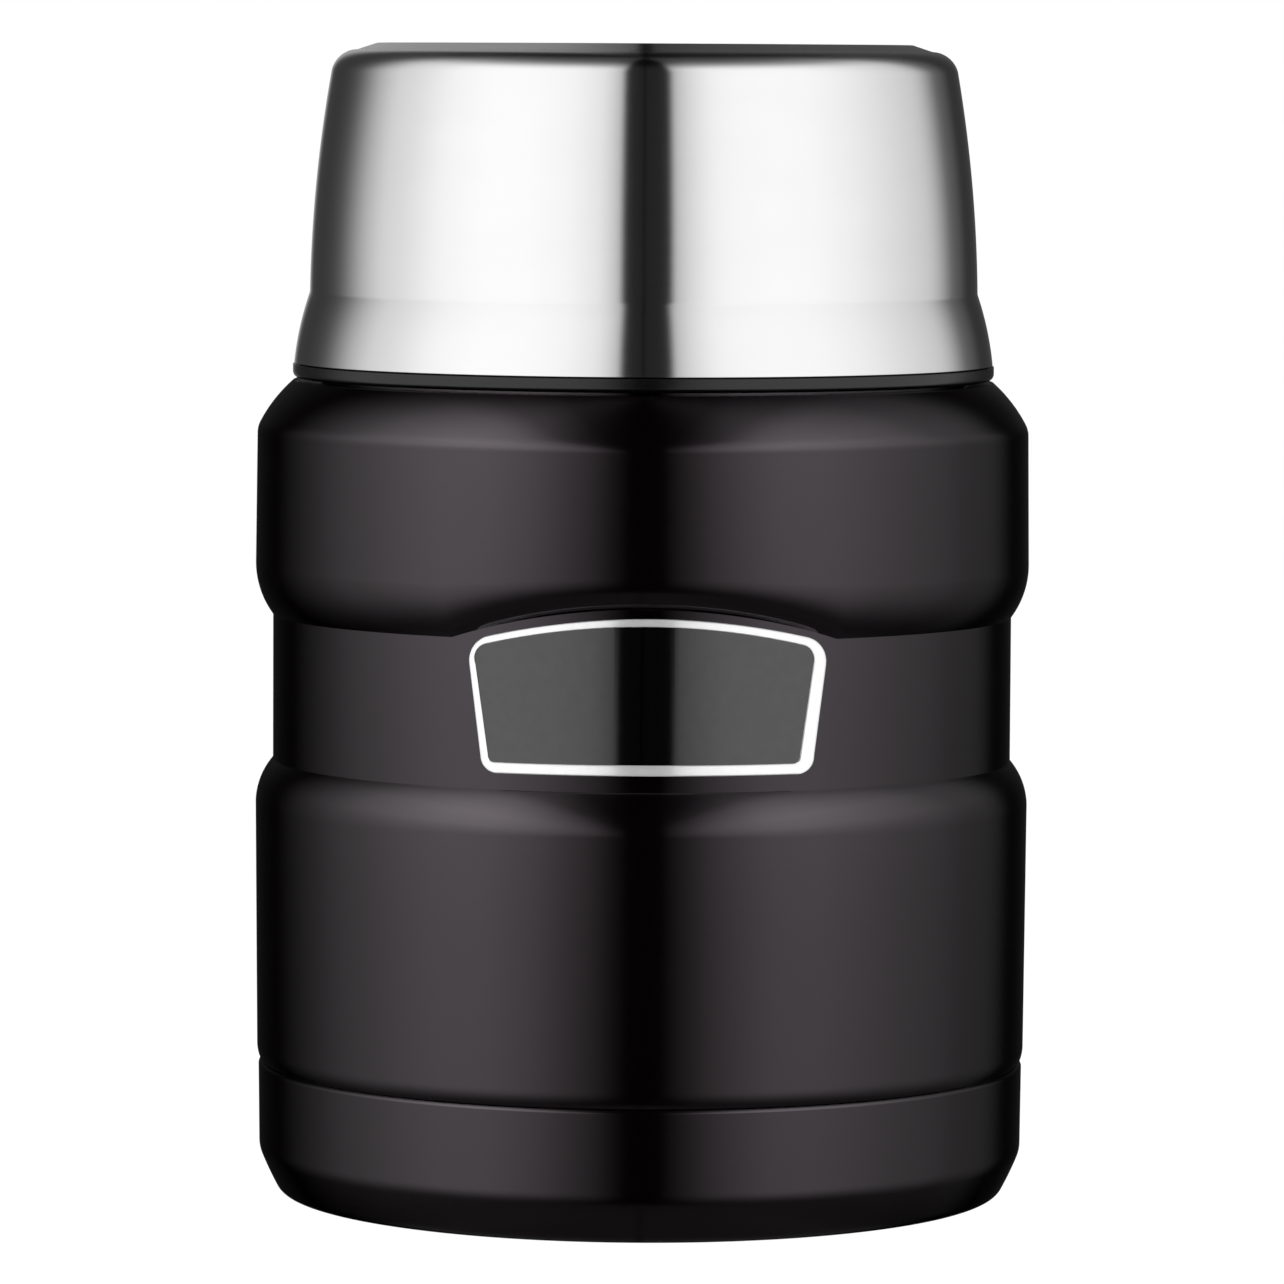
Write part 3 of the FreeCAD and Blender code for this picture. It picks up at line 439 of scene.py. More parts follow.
class JarColours(bpy.types.PropertyGroup):
    """The colours of the finishes that show."""

    lacquer: colour("Lacquer", "The paint under the gloss", (0.0006, 0.0003, 0.0004))
    lacquer_flakes: colour("Lacquer flakes", "The lightest specks in the paint", (0.0011, 0.0006, 0.0008))
    lacquer_gloss: colour("Lacquer gloss", "Tint of what the lacquer mirrors", (1.0, 0.885, 0.976))
    bowl_steel: colour("Bowl steel", "The brushed outside of the serving bowl", grey(0.62))
    inner_steel: colour("Inner steel", "The vessel and the inside of the bowl", grey(0.58))
    badge_border: colour("Badge border", "The bright plating round the badge", grey(0.80))
    badge_panel: colour("Badge panel", "The dark metal of the bare panel", grey(0.070))


def sizes():
    return bpy.context.scene.food_jar


def colours():
    return bpy.context.scene.food_jar_colours


# Pieces

# Sheet thicknesses of the painted shell and of the vessel and bowl.
SHELL_WALL, STEEL_WALL = 0.6, 0.5
# The waist band's edges, and the height of the rolls that lead out of it to the body's full radius.
WAIST_LOW, LOW_ROLL, WAIST_HIGH, HIGH_ROLL = 53.0, 5.2, 70.6, 6.2
# Where the shell turns in at the top, and the shoulder that meets the neck.
CREASE, SHOULDER, SHOULDER_RADIUS = 92.5, 99.0, 42.5
# How far the shell's inside steps in at the weld, and the base cup's clearance in it.
WELD_STEP, LAP_GAP = 0.35, 0.05
# The ledge inside the mouth, the gasket that seats on it round the stopper's nose, and the stopper's
# clearance in the mouth.
LEDGE, LEDGE_RADIUS, NOSE_RADIUS = 88.3, 32.0, 30.8
GASKET_LOW, GASKET_HEIGHT = cad("stopper_gasket", Z, LOW), 2.5
MOUTH_GAP = 1.5
# The vessel's inner radius, and the height where its halves meet.
VESSEL_RADIUS, VESSEL_JOINT = 41.4, cad("vessel_bottom", Z, HIGH)
# Threads, as the width of a ridge at its foot and at its tip, and its lead.
MOUTH_THREAD, MOUTH_THREAD_HEIGHT = (2.0, 1.1, 10.0), 1.1
BOWL_THREAD, BOWL_THREAD_HEIGHT = (1.6, 0.9, 8.0), 0.9
# Clearance between the jar's lip and what stands over it, and the stopper's outer thread wall.
OVER_LIP, STOPPER_RADIUS = 0.4, 37.6
# The badge stands off the waist by the thickness of its tape. Its border is a little wider on the right and
# below than on the left and above.
BADGE_BACK, PANEL_HEIGHT, PANEL_INSET = 0.15, 0.45, 1.2
WIDER_RIGHT, WIDER_BELOW = 0.4, 0.1


def shell_outline():
    """The painted shell's wall, from the seam up to the neck and back down its inside."""
    s = sizes()
    full, waist, wall = s.body_radius, s.body_radius - s.waist_depth, SHELL_WALL
    low, low_roll, high, high_roll = WAIST_LOW, LOW_ROLL, WAIST_HIGH, HIGH_ROLL
    return [
        (full - 0.70, s.seam, 4.5, -1),
        (full - 0.22, s.seam + 2.0),
        (full, low - low_roll, 8.3, -1),
        (waist, low),
        (waist, high, 10.5, -1),
        (full, high + high_roll),
        (full - 0.18, CREASE, 3.0, -1),
        (full - 0.57, 94.05, 18.0, -1),
        (SHOULDER_RADIUS, SHOULDER),
        (s.neck, SHOULDER),
        (s.neck, s.lip - 0.5),
        (s.neck - wall, s.lip - 0.5),
        (s.neck - wall, SHOULDER - wall),
        (SHOULDER_RADIUS - 0.5, SHOULDER - wall),
        (full - 0.67 - wall, 93.8),
        (full - 0.25 - wall, CREASE),
        (full - wall, high + high_roll),
        (waist - wall, high),
        (waist - wall, low),
        (full - wall, low - low_roll),
        (full - WELD_STEP - wall, s.seam),
    ]


def raise_arch(bm):
    """Lifts the waist's upper edge in an arch over the badge. The lift grows from nothing at the waist's
    lower edge, and fades through the roll above the arch to nothing at the crease."""
    s = sizes()
    waist = s.body_radius - s.waist_depth
    roll_top, roll_top_share = WAIST_HIGH + HIGH_ROLL, 0.3
    for vert in bm.verts:
        r, z = math.hypot(vert.co.x, vert.co.y), vert.co.z
        reach = abs(math.atan2(vert.co.x, -vert.co.y)) * waist / s.arch_half
        if r < waist - 1 or not WAIST_LOW < z < CREASE or reach >= 1:
            continue
        share = level([(WAIST_LOW, 0.0), (WAIST_HIGH, 1.0), (roll_top, roll_top_share), (CREASE, 0.0)], z)
        vert.co.z += s.arch_rise * (1 - reach**2) * share


class JAR_OT_shell(bpy.types.Operator):
    """Makes the painted outer shell, with the waist band and the arch over the badge"""

    bl_idname = "food_jar.shell"
    bl_label = "Outer shell"

    def execute(self, context):
        bm = turned(shell_outline(), softness=0.0, steps=SHELL_STEPS)
        raise_arch(bm)
        add_piece(bm, "painted_shell", "jar", "outer_shell", black_lacquer("lacquer_shell"))
        return {"FINISHED"}


class JAR_OT_base(bpy.types.Operator):
    """Makes the painted base cup and its cover disc"""

    bl_idname = "food_jar.base"
    bl_label = "Base"

    def execute(self, context):
        self.cup()
        low, high = cad("base_disc", Z, LOW), cad("base_disc", Z, HIGH)
        rim = cad("base_disc", X, HIGH)
        disc = turned([(0, low), (rim - 0.6, low), (rim, high), (0, high)], softness=0.1)
        plain = plastic("disc_plastic", grey(0.012), grey(0.022), 0.5)
        add_piece(disc, "bottom_disc", "jar", "base_disc", plain)
        return {"FINISHED"}

    def cup(self):
        """The cup, with a chamfered foot, a dish for the disc and a pit for the seal of the vacuum port."""
        full, seam, wall = sizes().body_radius, sizes().seam, SHELL_WALL
        weld, lap = seam - LAP_GAP, full - WELD_STEP - wall - LAP_GAP
        dish, port, pit = 3.0, 1.2, 5.0
        cup = turned([
            (full - 0.50, 6.3), (full - 0.40, seam - 0.55, 0.6, -1), (full - 0.87, weld),
            (lap, weld), (lap, seam + 3.0),
            (lap - wall, seam + 3.0), (lap - wall, seam - 0.3), (full - 1.23, 5.7),
            (43.8, 1.5), (42.2, wall), (38.0, wall), (37.4, dish + wall), (pit + wall, dish + wall),
            (pit, 5.2), (port, 5.2), (port, 4.6), (pit - wall, 4.6), (pit, dish),
            (37.4 - wall, dish), (37.4, 0.0),
            (42.75, 0.0, 1.9, -1), (44.35, 0.9, 40.0, -1), (full - 0.85, 4.7, 4.0, -1),
        ], softness=0.12)
        add_piece(cup, "painted_base", "jar", "base_cup", black_lacquer("lacquer_base"))


class JAR_OT_vessel(bpy.types.Operator):
    """Makes the steel vessel with its ledge, mouth thread and lip"""

    bl_idname = "food_jar.vessel"
    bl_label = "Vessel"

    def execute(self, context):
        s = sizes()
        wall, mouth, lip = STEEL_WALL, s.mouth, s.lip
        inner, outer, shoulder = VESSEL_RADIUS, VESSEL_RADIUS + STEEL_WALL, 76.8
        upper = turned([
            (inner, VESSEL_JOINT), (inner, shoulder, 11.0, -1),
            (LEDGE_RADIUS, LEDGE - 1.5), (LEDGE_RADIUS, LEDGE),
            (mouth, LEDGE), (mouth, lip), (s.neck, lip), (s.neck, lip - wall),
            (mouth + wall, lip - wall), (mouth + wall, LEDGE - wall), (LEDGE_RADIUS + wall, LEDGE - wall),
            (LEDGE_RADIUS + wall, LEDGE - 1.35, 11.5, 1), (outer, shoulder), (outer, VESSEL_JOINT),
        ], softness=0.12, steps=INNER_STEPS)
        add_threads(upper, mouth, -MOUTH_THREAD_HEIGHT, 92.0, 8.0, MOUTH_THREAD)
        add_piece(upper, "vessel_side", "jar", "vessel_wall", inner_steel("steel_vessel"))
        bottom, bend = cad("vessel_bottom", Z, LOW), 8.0
        flat = outer - bend
        lower = turned([
            (0, bottom), (flat, bottom, bend, -1), (outer, bottom + bend), (outer, VESSEL_JOINT),
            (inner, VESSEL_JOINT), (inner, bottom + bend, bend - wall, 1), (flat, bottom + wall),
            (0, bottom + wall),
        ], softness=0.0, steps=HIDDEN_STEPS)
        add_piece(lower, "vessel_dish", "jar", "vessel_bottom", inner_steel("steel_dish"))
        return {"FINISHED"}


def badge_outline(inset):
    """The badge's outline as (across, up) points, anticlockwise from the middle of its bottom edge. An inset
    moves each corner in by its own share, so that the border keeps its width."""
    bend, big_bend, lean = max(2.0 - inset, 0.6), max(3.0 - inset, 0.6), 0.126
    low_x, low_z = 19.2 - 0.93 * inset, 55.1 + 0.95 * inset
    side_x, side_z = 20.8 - 0.92 * inset, 67.8 - 0.05 * inset
    arch_x, arch_z = 18.54 - 0.17 * inset, 71.09 - 0.80 * inset
    bend_x, bend_z = low_x + lean * bend, low_z + bend
    right = [
        (0.0, low_z),
        (low_x - bend, low_z, bend, -1),
        (bend_x, bend_z),
        (side_x, side_z, big_bend, -1),
        (arch_x, arch_z, 76.0 - inset, -1),
    ]
    left = [
        (-arch_x, arch_z, big_bend, -1),
        (-side_x, side_z),
        (-bend_x, bend_z, bend, -1),
        (-(low_x - bend), low_z),
    ]
    return outline(right + left)


def evened(points, count):
    """A closed outline walked in count equal steps."""
    ends = points[1:] + points[:1]
    lengths = [math.dist(a, b) for a, b in zip(points, ends)]
    total, walked, index, made = sum(lengths), 0.0, 0, []
    for i in range(count):
        target = total * i / count
        while walked + lengths[index] < target:
            walked += lengths[index]
            index += 1
        share = (target - walked) / lengths[index]
        a, b = points[index], ends[index]
        made.append((a[0] + (b[0] - a[0]) * share, a[1] + (b[1] - a[1]) * share))
    return made


def wrap_front(bm):
    """Wraps a flat badge, with x across, z up and y its height off the waist, round the front of the jar."""
    waist = sizes().body_radius - sizes().waist_depth
    for vert in bm.verts:
        vert.co.y = -math.sqrt((waist + vert.co.y)**2 - vert.co.x**2)


class JAR_OT_badge(bpy.types.Operator):
    """Makes the badge: a bright raised border round a bare dark panel"""

    bl_idname = "food_jar.badge"
    bl_label = "Badge"

    def execute(self, context):
        self.border()
        self.panel()
        return {"FINISHED"}

    def border(self):
        """The border's section, as (inset, height), carried round the badge's outline."""
        section = [
            (0.0, 0.0), (0.0, 0.46), (0.04, 0.55), (0.13, 0.60), (0.62, 0.62), (1.12, 0.60),
            (1.20, 0.55), (1.24, 0.46), (1.24, 0.0),
        ]
        width, count = section[-1][0], 480
        bm = bmesh.new()
        loops = []
        for inset, height in section:
            off = 1 - inset / width
            loops.append([
                bm.verts.new((x + WIDER_RIGHT * off, BADGE_BACK + height, z - WIDER_BELOW * off))
                for x, z in evened(badge_outline(inset), count)
            ])
        for outer, inner in zip(loops, loops[1:] + loops[:1]):
            for j in range(count):
                k = (j + 1) % count
                bm.faces.new((outer[j], outer[k], inner[k], inner[j]))
        wrap_front(bm)
        add_piece(bm, "badge_rim", "jar", "badge_plate", satin_silver("badge_silver"))

    def panel(self):
        """The panel, cut into strips half a millimetre wide so that it can bend round the waist."""
        bm = bmesh.new()
        corners = badge_outline(PANEL_INSET)
        bm.faces.new([bm.verts.new((x, BADGE_BACK + PANEL_HEIGHT, z)) for x, z in corners])
        strip, strips_each_side = 0.5, 41
        for i in range(-strips_each_side, strips_each_side + 1):
            everything = bm.verts[:] + bm.edges[:] + bm.faces[:]
            bmesh.ops.bisect_plane(bm, geom=everything, plane_co=(i * strip, 0, 0), plane_no=(1, 0, 0))
        wrap_front(bm)
        tone = colours().badge_panel
        finish = metal("badge_grey_metal", toned(tone, 6 / 7), tone, 0.06, 900.0)
        obj = add_piece(bm, "badge_panel", "jar", "badge_enamel", finish)
        if obj.data.polygons[0].normal.y > 0:
            obj.data.flip_normals()


class JAR_OT_stopper(bpy.types.Operator):
    """Makes the stopper: its threaded plug, its gasket and the cover with the grip ring"""

    bl_idname = "food_jar.stopper"
    bl_label = "Stopper"

    def execute(self, context):
        under = sizes().lip + OVER_LIP
        top = under + 8.4
        self.plug(under, top)
        self.gasket()
        self.cover(top)
        return {"FINISHED"}

    def plug(self, under, top):
        """The plug, which stands in the mouth and is open at the top for its foam."""
        radius, nose_radius, skin = sizes().mouth - MOUTH_GAP, NOSE_RADIUS, 1.6
        bearing, nose = GASKET_LOW + GASKET_HEIGHT, LEDGE - 1.7
        shell = turned([
            (0, nose), (nose_radius, nose), (nose_radius + 0.7, nose + 0.45), (nose_radius, nose + 0.9),
            (nose_radius, bearing), (radius, bearing), (radius, under), (STOPPER_RADIUS, under),
            (STOPPER_RADIUS, top), (radius - skin, top), (radius - skin, bearing + skin),
            (nose_radius - skin, bearing + skin), (nose_radius - skin, nose + skin), (0, nose + skin),
        ], softness=0.2, steps=INNER_STEPS)
        add_threads(shell, radius, MOUTH_THREAD_HEIGHT, 94.5, 8.0, MOUTH_THREAD)
        add_threads(shell, STOPPER_RADIUS, BOWL_THREAD_HEIGHT, under + 1.3, 6.0, BOWL_THREAD)
        black = plastic("plug_plastic", grey(0.010), grey(0.018))
        add_piece(shell, "plug_shell", "stopper", "stopper_shell", black)

    def gasket(self):
        low, high, hole, outside = (
            GASKET_LOW, GASKET_LOW + GASKET_HEIGHT, NOSE_RADIUS, sizes().mouth - MOUTH_GAP)
        ring = turned([
            (hole, low), (outside - 0.5, low), (outside, low + 0.75), (outside, high - 0.75),
            (outside - 0.5, high), (hole, high),
        ], softness=0.25, steps=INNER_STEPS)
        silicone = plastic("grey_silicone", grey(0.30), grey(0.36), 0.45)
        add_piece(ring, "gasket_ring", "stopper_seal", "stopper_gasket", silicone)

    def cover(self, seat):
        """The cover, with a spigot under it and a grip ring on top."""
        face, spigot, grip, height, wide, edge = seat + 1.6, 32.3, 35.4, 6.4, 4.6, 0.92
        top, rim = face + height, cad("stopper_cap", X, HIGH)
        bm = turned([
            (0, seat), (spigot - 1.2, seat), (spigot - 1.2, seat - 1.8), (spigot, seat - 1.8),
            (spigot, seat), (rim, seat), (rim, face - 0.64), (grip, face),
            (grip, top - edge), (grip - edge, top), (grip - wide + edge, top), (grip - wide, top - edge),
            (grip - wide, face), (0, face),
        ], softness=0.2, steps=2 * TURN_STEPS)
        self.scallop(bm, grip, face)
        black = plastic("cover_plastic", grey(0.010), grey(0.018))
        add_piece(bm, "plug_cover", "stopper", "stopper_cap", black)

    def scallop(self, bm, grip, face):
        """Presses round hollows into the grip ring's outer wall."""
        pitch, radius, centre = 2 * math.pi / 36, 1.1, grip + 0.4
        for vert in bm.verts:
            r = math.hypot(vert.co.x, vert.co.y)
            if vert.co.z < face + 0.02 or r < grip - 1.0:
                continue
            angle = math.atan2(vert.co.y, vert.co.x)
            off = (angle + pitch / 2) % pitch - pitch / 2
            across = abs(math.sin(off)) * centre
            if across < radius:
                wall = centre * math.cos(off) - math.sqrt(radius**2 - across**2)
                if wall < r:
                    vert.co.x *= wall / r
                    vert.co.y *= wall / r


class JAR_OT_bowl(bpy.types.Operator):
    """Makes the serving bowl: its brushed steel outside, its liner, its rim ring and its seal"""

    bl_idname = "food_jar.bowl"
    bl_label = "Serving bowl"

    def execute(self, context):
        self.outside()
        self.rim_ring()
        self.inside()
        self.seal()
        return {"FINISHED"}

    def outside(self):
        """The outside, from its foot over the waist of the wall to the raised top, and back inside."""
        wall, foot, top = STEEL_WALL, cad("bowl_shell", Z, LOW), cad("bowl_shell", Z, HIGH)
        shell = turned([
            (42.4, foot, 38.0, -1), (40.5, 109.7, 170.0, -1), (37.9, 136.6, 3.3, -1),
            (34.8, 139.0), (32.4, top), (0, top), (0, top - wall), (32.4, top - wall),
            (34.65, 139.0 - wall, 2.8, 1), (37.4, 136.5, 169.5, 1), (40.0, 109.7, 37.5, 1), (41.9, foot),
        ], softness=0.15)
        steel = brushed_steel("steel_bowl", colours().bowl_steel, 0.145, 0.025, 1.0)
        add_piece(shell, "brushed_bowl", "bowl", "bowl_shell", steel)

    def rim_ring(self):
        """The black ring round the bowl's mouth, with the thread inside it."""
        over, low, high = sizes().lip + OVER_LIP, cad("bowl_collar", Z, LOW), cad("bowl_collar", Z, HIGH)
        thread_wall, bend, widest = 38.85, 0.8, 42.55
        under = widest - bend
        ring = turned([
            (39.3, low), (under, low, bend, -1), (widest, low + bend), (widest, 101.0), (under, 101.0),
            (under, 101.1), (39.85, 109.4), (39.85, high), (thread_wall, high), (thread_wall, over - 0.2),
            (39.3, over - 0.6),
        ], softness=0.1)
        add_threads(ring, thread_wall, -BOWL_THREAD_HEIGHT, over + 3.3, 3.8, BOWL_THREAD)
        black = plastic("ring_black", grey(0.0006), grey(0.0012), 0.2, bump=0.000004, gloss=0.38)
        add_piece(ring, "rim_ring", "bowl", "bowl_collar", black)

    def inside(self):
        wall, mouth, floor = STEEL_WALL, cad("bowl_liner", Z, LOW), cad("bowl_liner", Z, HIGH)
        bend, flat = 3.0, 32.1
        liner = turned([
            (37.0, mouth), (39.55, mouth), (39.55, mouth + wall), (37.5, mouth + wall),
            (flat + bend, floor - bend, bend, -1), (flat, floor), (0, floor), (0, floor - wall),
            (flat, floor - wall, bend - wall, 1), (flat + bend - wall, floor - bend),
        ], softness=0.1, steps=INNER_STEPS)
        add_piece(liner, "bowl_inside", "bowl_inner", "bowl_liner", inner_steel("steel_liner"))

    def seal(self):
        hole, rim = 38.85, cad("bowl_seal_ring", X, HIGH)
        low, high = cad("bowl_seal_ring", Z, LOW), cad("bowl_seal_ring", Z, HIGH)
        corners = [(hole, low), (rim, low), (rim, high), (hole, high)]
        ring = turned(corners, softness=0.1, steps=HIDDEN_STEPS)
        silicone = plastic("clear_silicone", grey(0.30), grey(0.36), 0.45)
        add_piece(ring, "bowl_gasket", "bowl_inner", "bowl_seal_ring", silicone)


class JAR_OT_hidden(bpy.types.Operator):
    """Gives the parts inside the walls their finishes"""

    bl_idname = "food_jar.hidden"
    bl_label = "Inner parts"

    def execute(self, context):
        finishes = {
            "heat_shield": metal("shield_foil", grey(0.70), grey(0.80), 0.2),
            "getter_pill": metal("getter_alloy", grey(0.16), grey(0.24), 0.6),
            "getter_cup": metal("getter_steel", grey(0.45), grey(0.55), 0.35),
            "port_seal_bead": plastic("solder_glass", (0.16, 0.20, 0.14), (0.20, 0.25, 0.18), 0.15),
            "badge_tape": plastic("tape_black", grey(0.02), grey(0.03), 0.7),
            "stopper_foam": plastic("foam_cream", (0.62, 0.58, 0.46), (0.74, 0.70, 0.58), 0.8),
        }
        for node, material in finishes.items():
            dress(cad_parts[node], material)
        return {"FINISHED"}


# Stage

# The studio's screens. The steel and the lacquer were lit apart, so each has its own pair. The first stops
# of a pair give a level by degrees round from the camera's side to behind the jar, and the next by degrees
# above the horizon. The pale floor glows back weakly from below.
STEEL_LEFT = [
    (4.0, 0.025), (6.0, 0.035), (6.8, 0.06), (7.5, 0.45), (8.3, 0.80), (10.9, 0.98), (15.0, 1.26),
    (26.0, 1.48), (41.0, 1.58), (57.0, 1.58), (74.0, 1.46), (91.0, 1.14), (101.5, 1.03), (113.6, 0.62),
    (120.0, 0.34), (128.0, 0.13), (136.6, 0.07), (147.0, 0.05), (163.0, 0.06), (172.0, 0.50),
    (174.6, 0.50), (176.5, 0.25), (178.5, 0.09), (180.0, 0.06),
]
STEEL_RIGHT = [
    (5.8, 0.025), (8.4, 0.03), (9.1, 0.06), (9.7, 0.45), (10.5, 0.74), (12.8, 0.91), (17.0, 1.14),
    (24.0, 1.41), (31.0, 1.50), (45.0, 1.54), (61.0, 1.51), (78.0, 1.36), (91.0, 1.19), (101.5, 1.06),
    (116.0, 0.88), (124.5, 0.50), (131.0, 0.17), (137.6, 0.14), (142.0, 0.08), (147.0, 0.04),
    (163.0, 0.05), (172.0, 0.10), (177.0, 0.09), (180.0, 0.06),
]
STEEL_UP = [
    (-60.0, 0.0), (-40.0, 1.0), (38.0, 1.0), (46.0, 0.75), (54.0, 0.35), (64.0, 0.12), (75.0, 0.05),
]
LACQUER_LEFT = [
    (4.0, 0.0), (9.0, 0.17), (15.0, 0.49), (21.0, 0.74), (33.0, 1.32), (46.0, 1.70), (60.0, 1.66),
    (74.0, 1.30), (85.0, 0.95), (97.0, 0.62), (108.0, 0.30), (118.0, 0.135), (125.0, 0.06),
    (132.0, 0.017), (137.0, 0.002), (149.0, 0.008), (161.0, 0.012), (180.0, 0.012),
]
LACQUER_RIGHT = [
    (6.0, 0.0), (14.6, 0.36), (20.6, 0.68), (26.8, 0.95), (39.0, 1.42), (52.0, 1.46), (66.0, 1.20),
    (80.6, 0.86), (97.0, 0.55), (108.0, 0.31), (118.0, 0.22), (125.6, 0.15), (132.6, 0.06),
    (139.0, 0.006), (151.0, 0.008), (167.0, 0.018), (180.0, 0.018),
]
LACQUER_UP = [
    (-60.0, 0.0), (-50.0, 0.04), (-40.0, 0.16), (-30.0, 0.40), (-20.0, 0.70), (-12.0, 0.88),
    (-5.8, 0.97), (-4.1, 1.10), (0.0, 1.18), (8.0, 1.45), (16.0, 1.85), (26.0, 2.0), (35.0, 2.15),
    (46.0, 1.9), (58.0, 1.35), (67.0, 0.55), (78.0, 0.15), (90.0, 0.03),
]
FLOOR_ROUND = [(0.0, 1.0)]
FLOOR_UP = [(-90.0, 0.11), (-55.0, 0.11), (-46.0, 0.02), (-38.0, 0.0)]
STEEL_PIECES = ("brushed_bowl", "rim_ring", "badge_rim", "badge_panel")

# Where the screens stand round the jar, in metres, and how finely they are divided: rings round the X axis,
# closer together in the middle, and points on each ring. A stretch dimmer than the least glow is left out.
SCREEN_CENTRE = Vector((0, 0, 0.07))
STEEL_SCREEN, FLOOR_SCREEN, LACQUER_SCREEN = 1.5, 1.55, 1.6
RINGS, RING_POINTS, CROWDING = 104, 96, 1.5
FIRST_RING, RING_SPAN = 0.3, 89.65
LEAST_GLOW = 0.004
# How far a screen curves round the jar: 1 is all the way, and the lacquer's two are nearly flat.
CURVED, LEFT_CURVE, RIGHT_CURVE = 1.0, 0.05, 0.16

# The photo's view: focal length in pixels, distance and height in metres, downward tilt, and the small
# turns that the photo shows round the jar and round the lens.
FOCAL_PIXELS, SENSOR_WIDTH = 7530.0, 36.0
CAMERA_AWAY, CAMERA_HEIGHT, CAMERA_TILT = 0.915, 0.1377, math.radians(4.41)
CAMERA_TURN, CAMERA_ROLL = math.radians(-0.4), math.radians(0.3)

# The floor's radius, its share of plain white to the camera and that white's strength, and the drapes, with
# the half-width in degrees and the heights of their gap.
FLOOR_RADIUS, FLOOR_WHITE_SHARE, FLOOR_WHITE = 1.4, 0.9, 1.09
DRAPES_RADIUS, GAP_HALF, GAP_LOW, GAP_HIGH = 2.2, 3.0, -0.3, 0.5


def glow(direction, around, upward, curve):
    """How brightly a screen glows in a direction from the jar. The top of a flat screen, beside the jar,
    looks lower where it is further away. Levels round the jar are blurred a little."""
    x, y, z = direction
    turn = math.degrees(math.atan2(abs(x), -y))
    reach = math.hypot(x, y * (curve if z > 0 else CURVED))
    blur = min(4.0, turn * 0.08)
    share = (level(around, turn - blur) + 2 * level(around, turn) + level(around, turn + blur)) / 4
    return share * level(upward, math.degrees(math.atan2(z, reach)))


def stage_object(bm, name):
    """A stage object with an empty material, whose nodes and output come back with it."""
    mesh = bpy.data.meshes.new(name)
    bm.to_mesh(mesh)
    bm.free()
    obj = bpy.data.objects.new(name, mesh)
    bpy.context.scene.collection.objects.link(obj)
    obj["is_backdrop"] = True
    material = bpy.data.materials.new(name)
    material.use_nodes = True
    mesh.materials.append(material)
    nodes = Nodes(material.node_tree)
    return obj, nodes, nodes.add("ShaderNodeOutputMaterial").inputs["Surface"]


def screen_directions(side):
    """Directions from the jar to a screen, ring by ring from the middle of the view out to one side."""
    rings = []
    for i in range(RINGS + 1):
        out = math.radians(FIRST_RING + RING_SPAN * (i / RINGS) ** CROWDING)
        turns = [2 * math.pi * j / RING_POINTS for j in range(RING_POINTS)]
        rings.append([
            Vector((side * math.sin(out), -math.cos(out) * math.cos(turn), math.cos(out) * math.sin(turn)))
            for turn in turns
        ])
    return rings


def screen_mesh(side, ramps, radius):
    """A half dome, with its glow stored on its points."""
    bm = bmesh.new()
    shades = bm.verts.layers.float_color.new("glow")
    rings = screen_directions(side)
    levels = [[glow(direction, *ramps) for direction in ring] for ring in rings]
    verts = [[bm.verts.new(SCREEN_CENTRE + direction * radius) for direction in ring] for ring in rings]
    for i in range(RINGS):
        for j in range(RING_POINTS):
            k = (j + 1) % RING_POINTS
            spots = ((i, j), (i + 1, j), (i + 1, k), (i, k))
            if max(levels[m][n] for m, n in spots) > LEAST_GLOW:
                bm.faces.new([verts[m][n] for m, n in spots])
    for line, values in zip(verts, levels):
        for vert, value in zip(line, values):
            vert[shades] = (value, value, value, 1)
    bmesh.ops.delete(bm, geom=[v for v in bm.verts if not v.link_faces], context="VERTS")
    return bm


def screen(name, side, ramps, radius, receivers):
    """A glowing screen curved round one side of the jar. It lights only the receivers and casts no shadow."""
    obj, nodes, surface = stage_object(screen_mesh(side, ramps, radius), name)
    emit = nodes.add("ShaderNodeEmission")
    nodes.link(nodes.add("ShaderNodeAttribute", attribute_name="glow").outputs["Color"], emit.inputs["Color"])
    both = nodes.add("ShaderNodeAddShader")
    nodes.link(emit.outputs[0], both.inputs[0])
    nodes.link(nodes.add("ShaderNodeBsdfTransparent").outputs[0], both.inputs[1])
    nodes.link(both.outputs[0], surface)
    obj.visible_camera = False
    obj.visible_shadow = False
    obj.light_linking.receiver_collection = receivers
    obj.rotation_euler.z = CAMERA_TURN


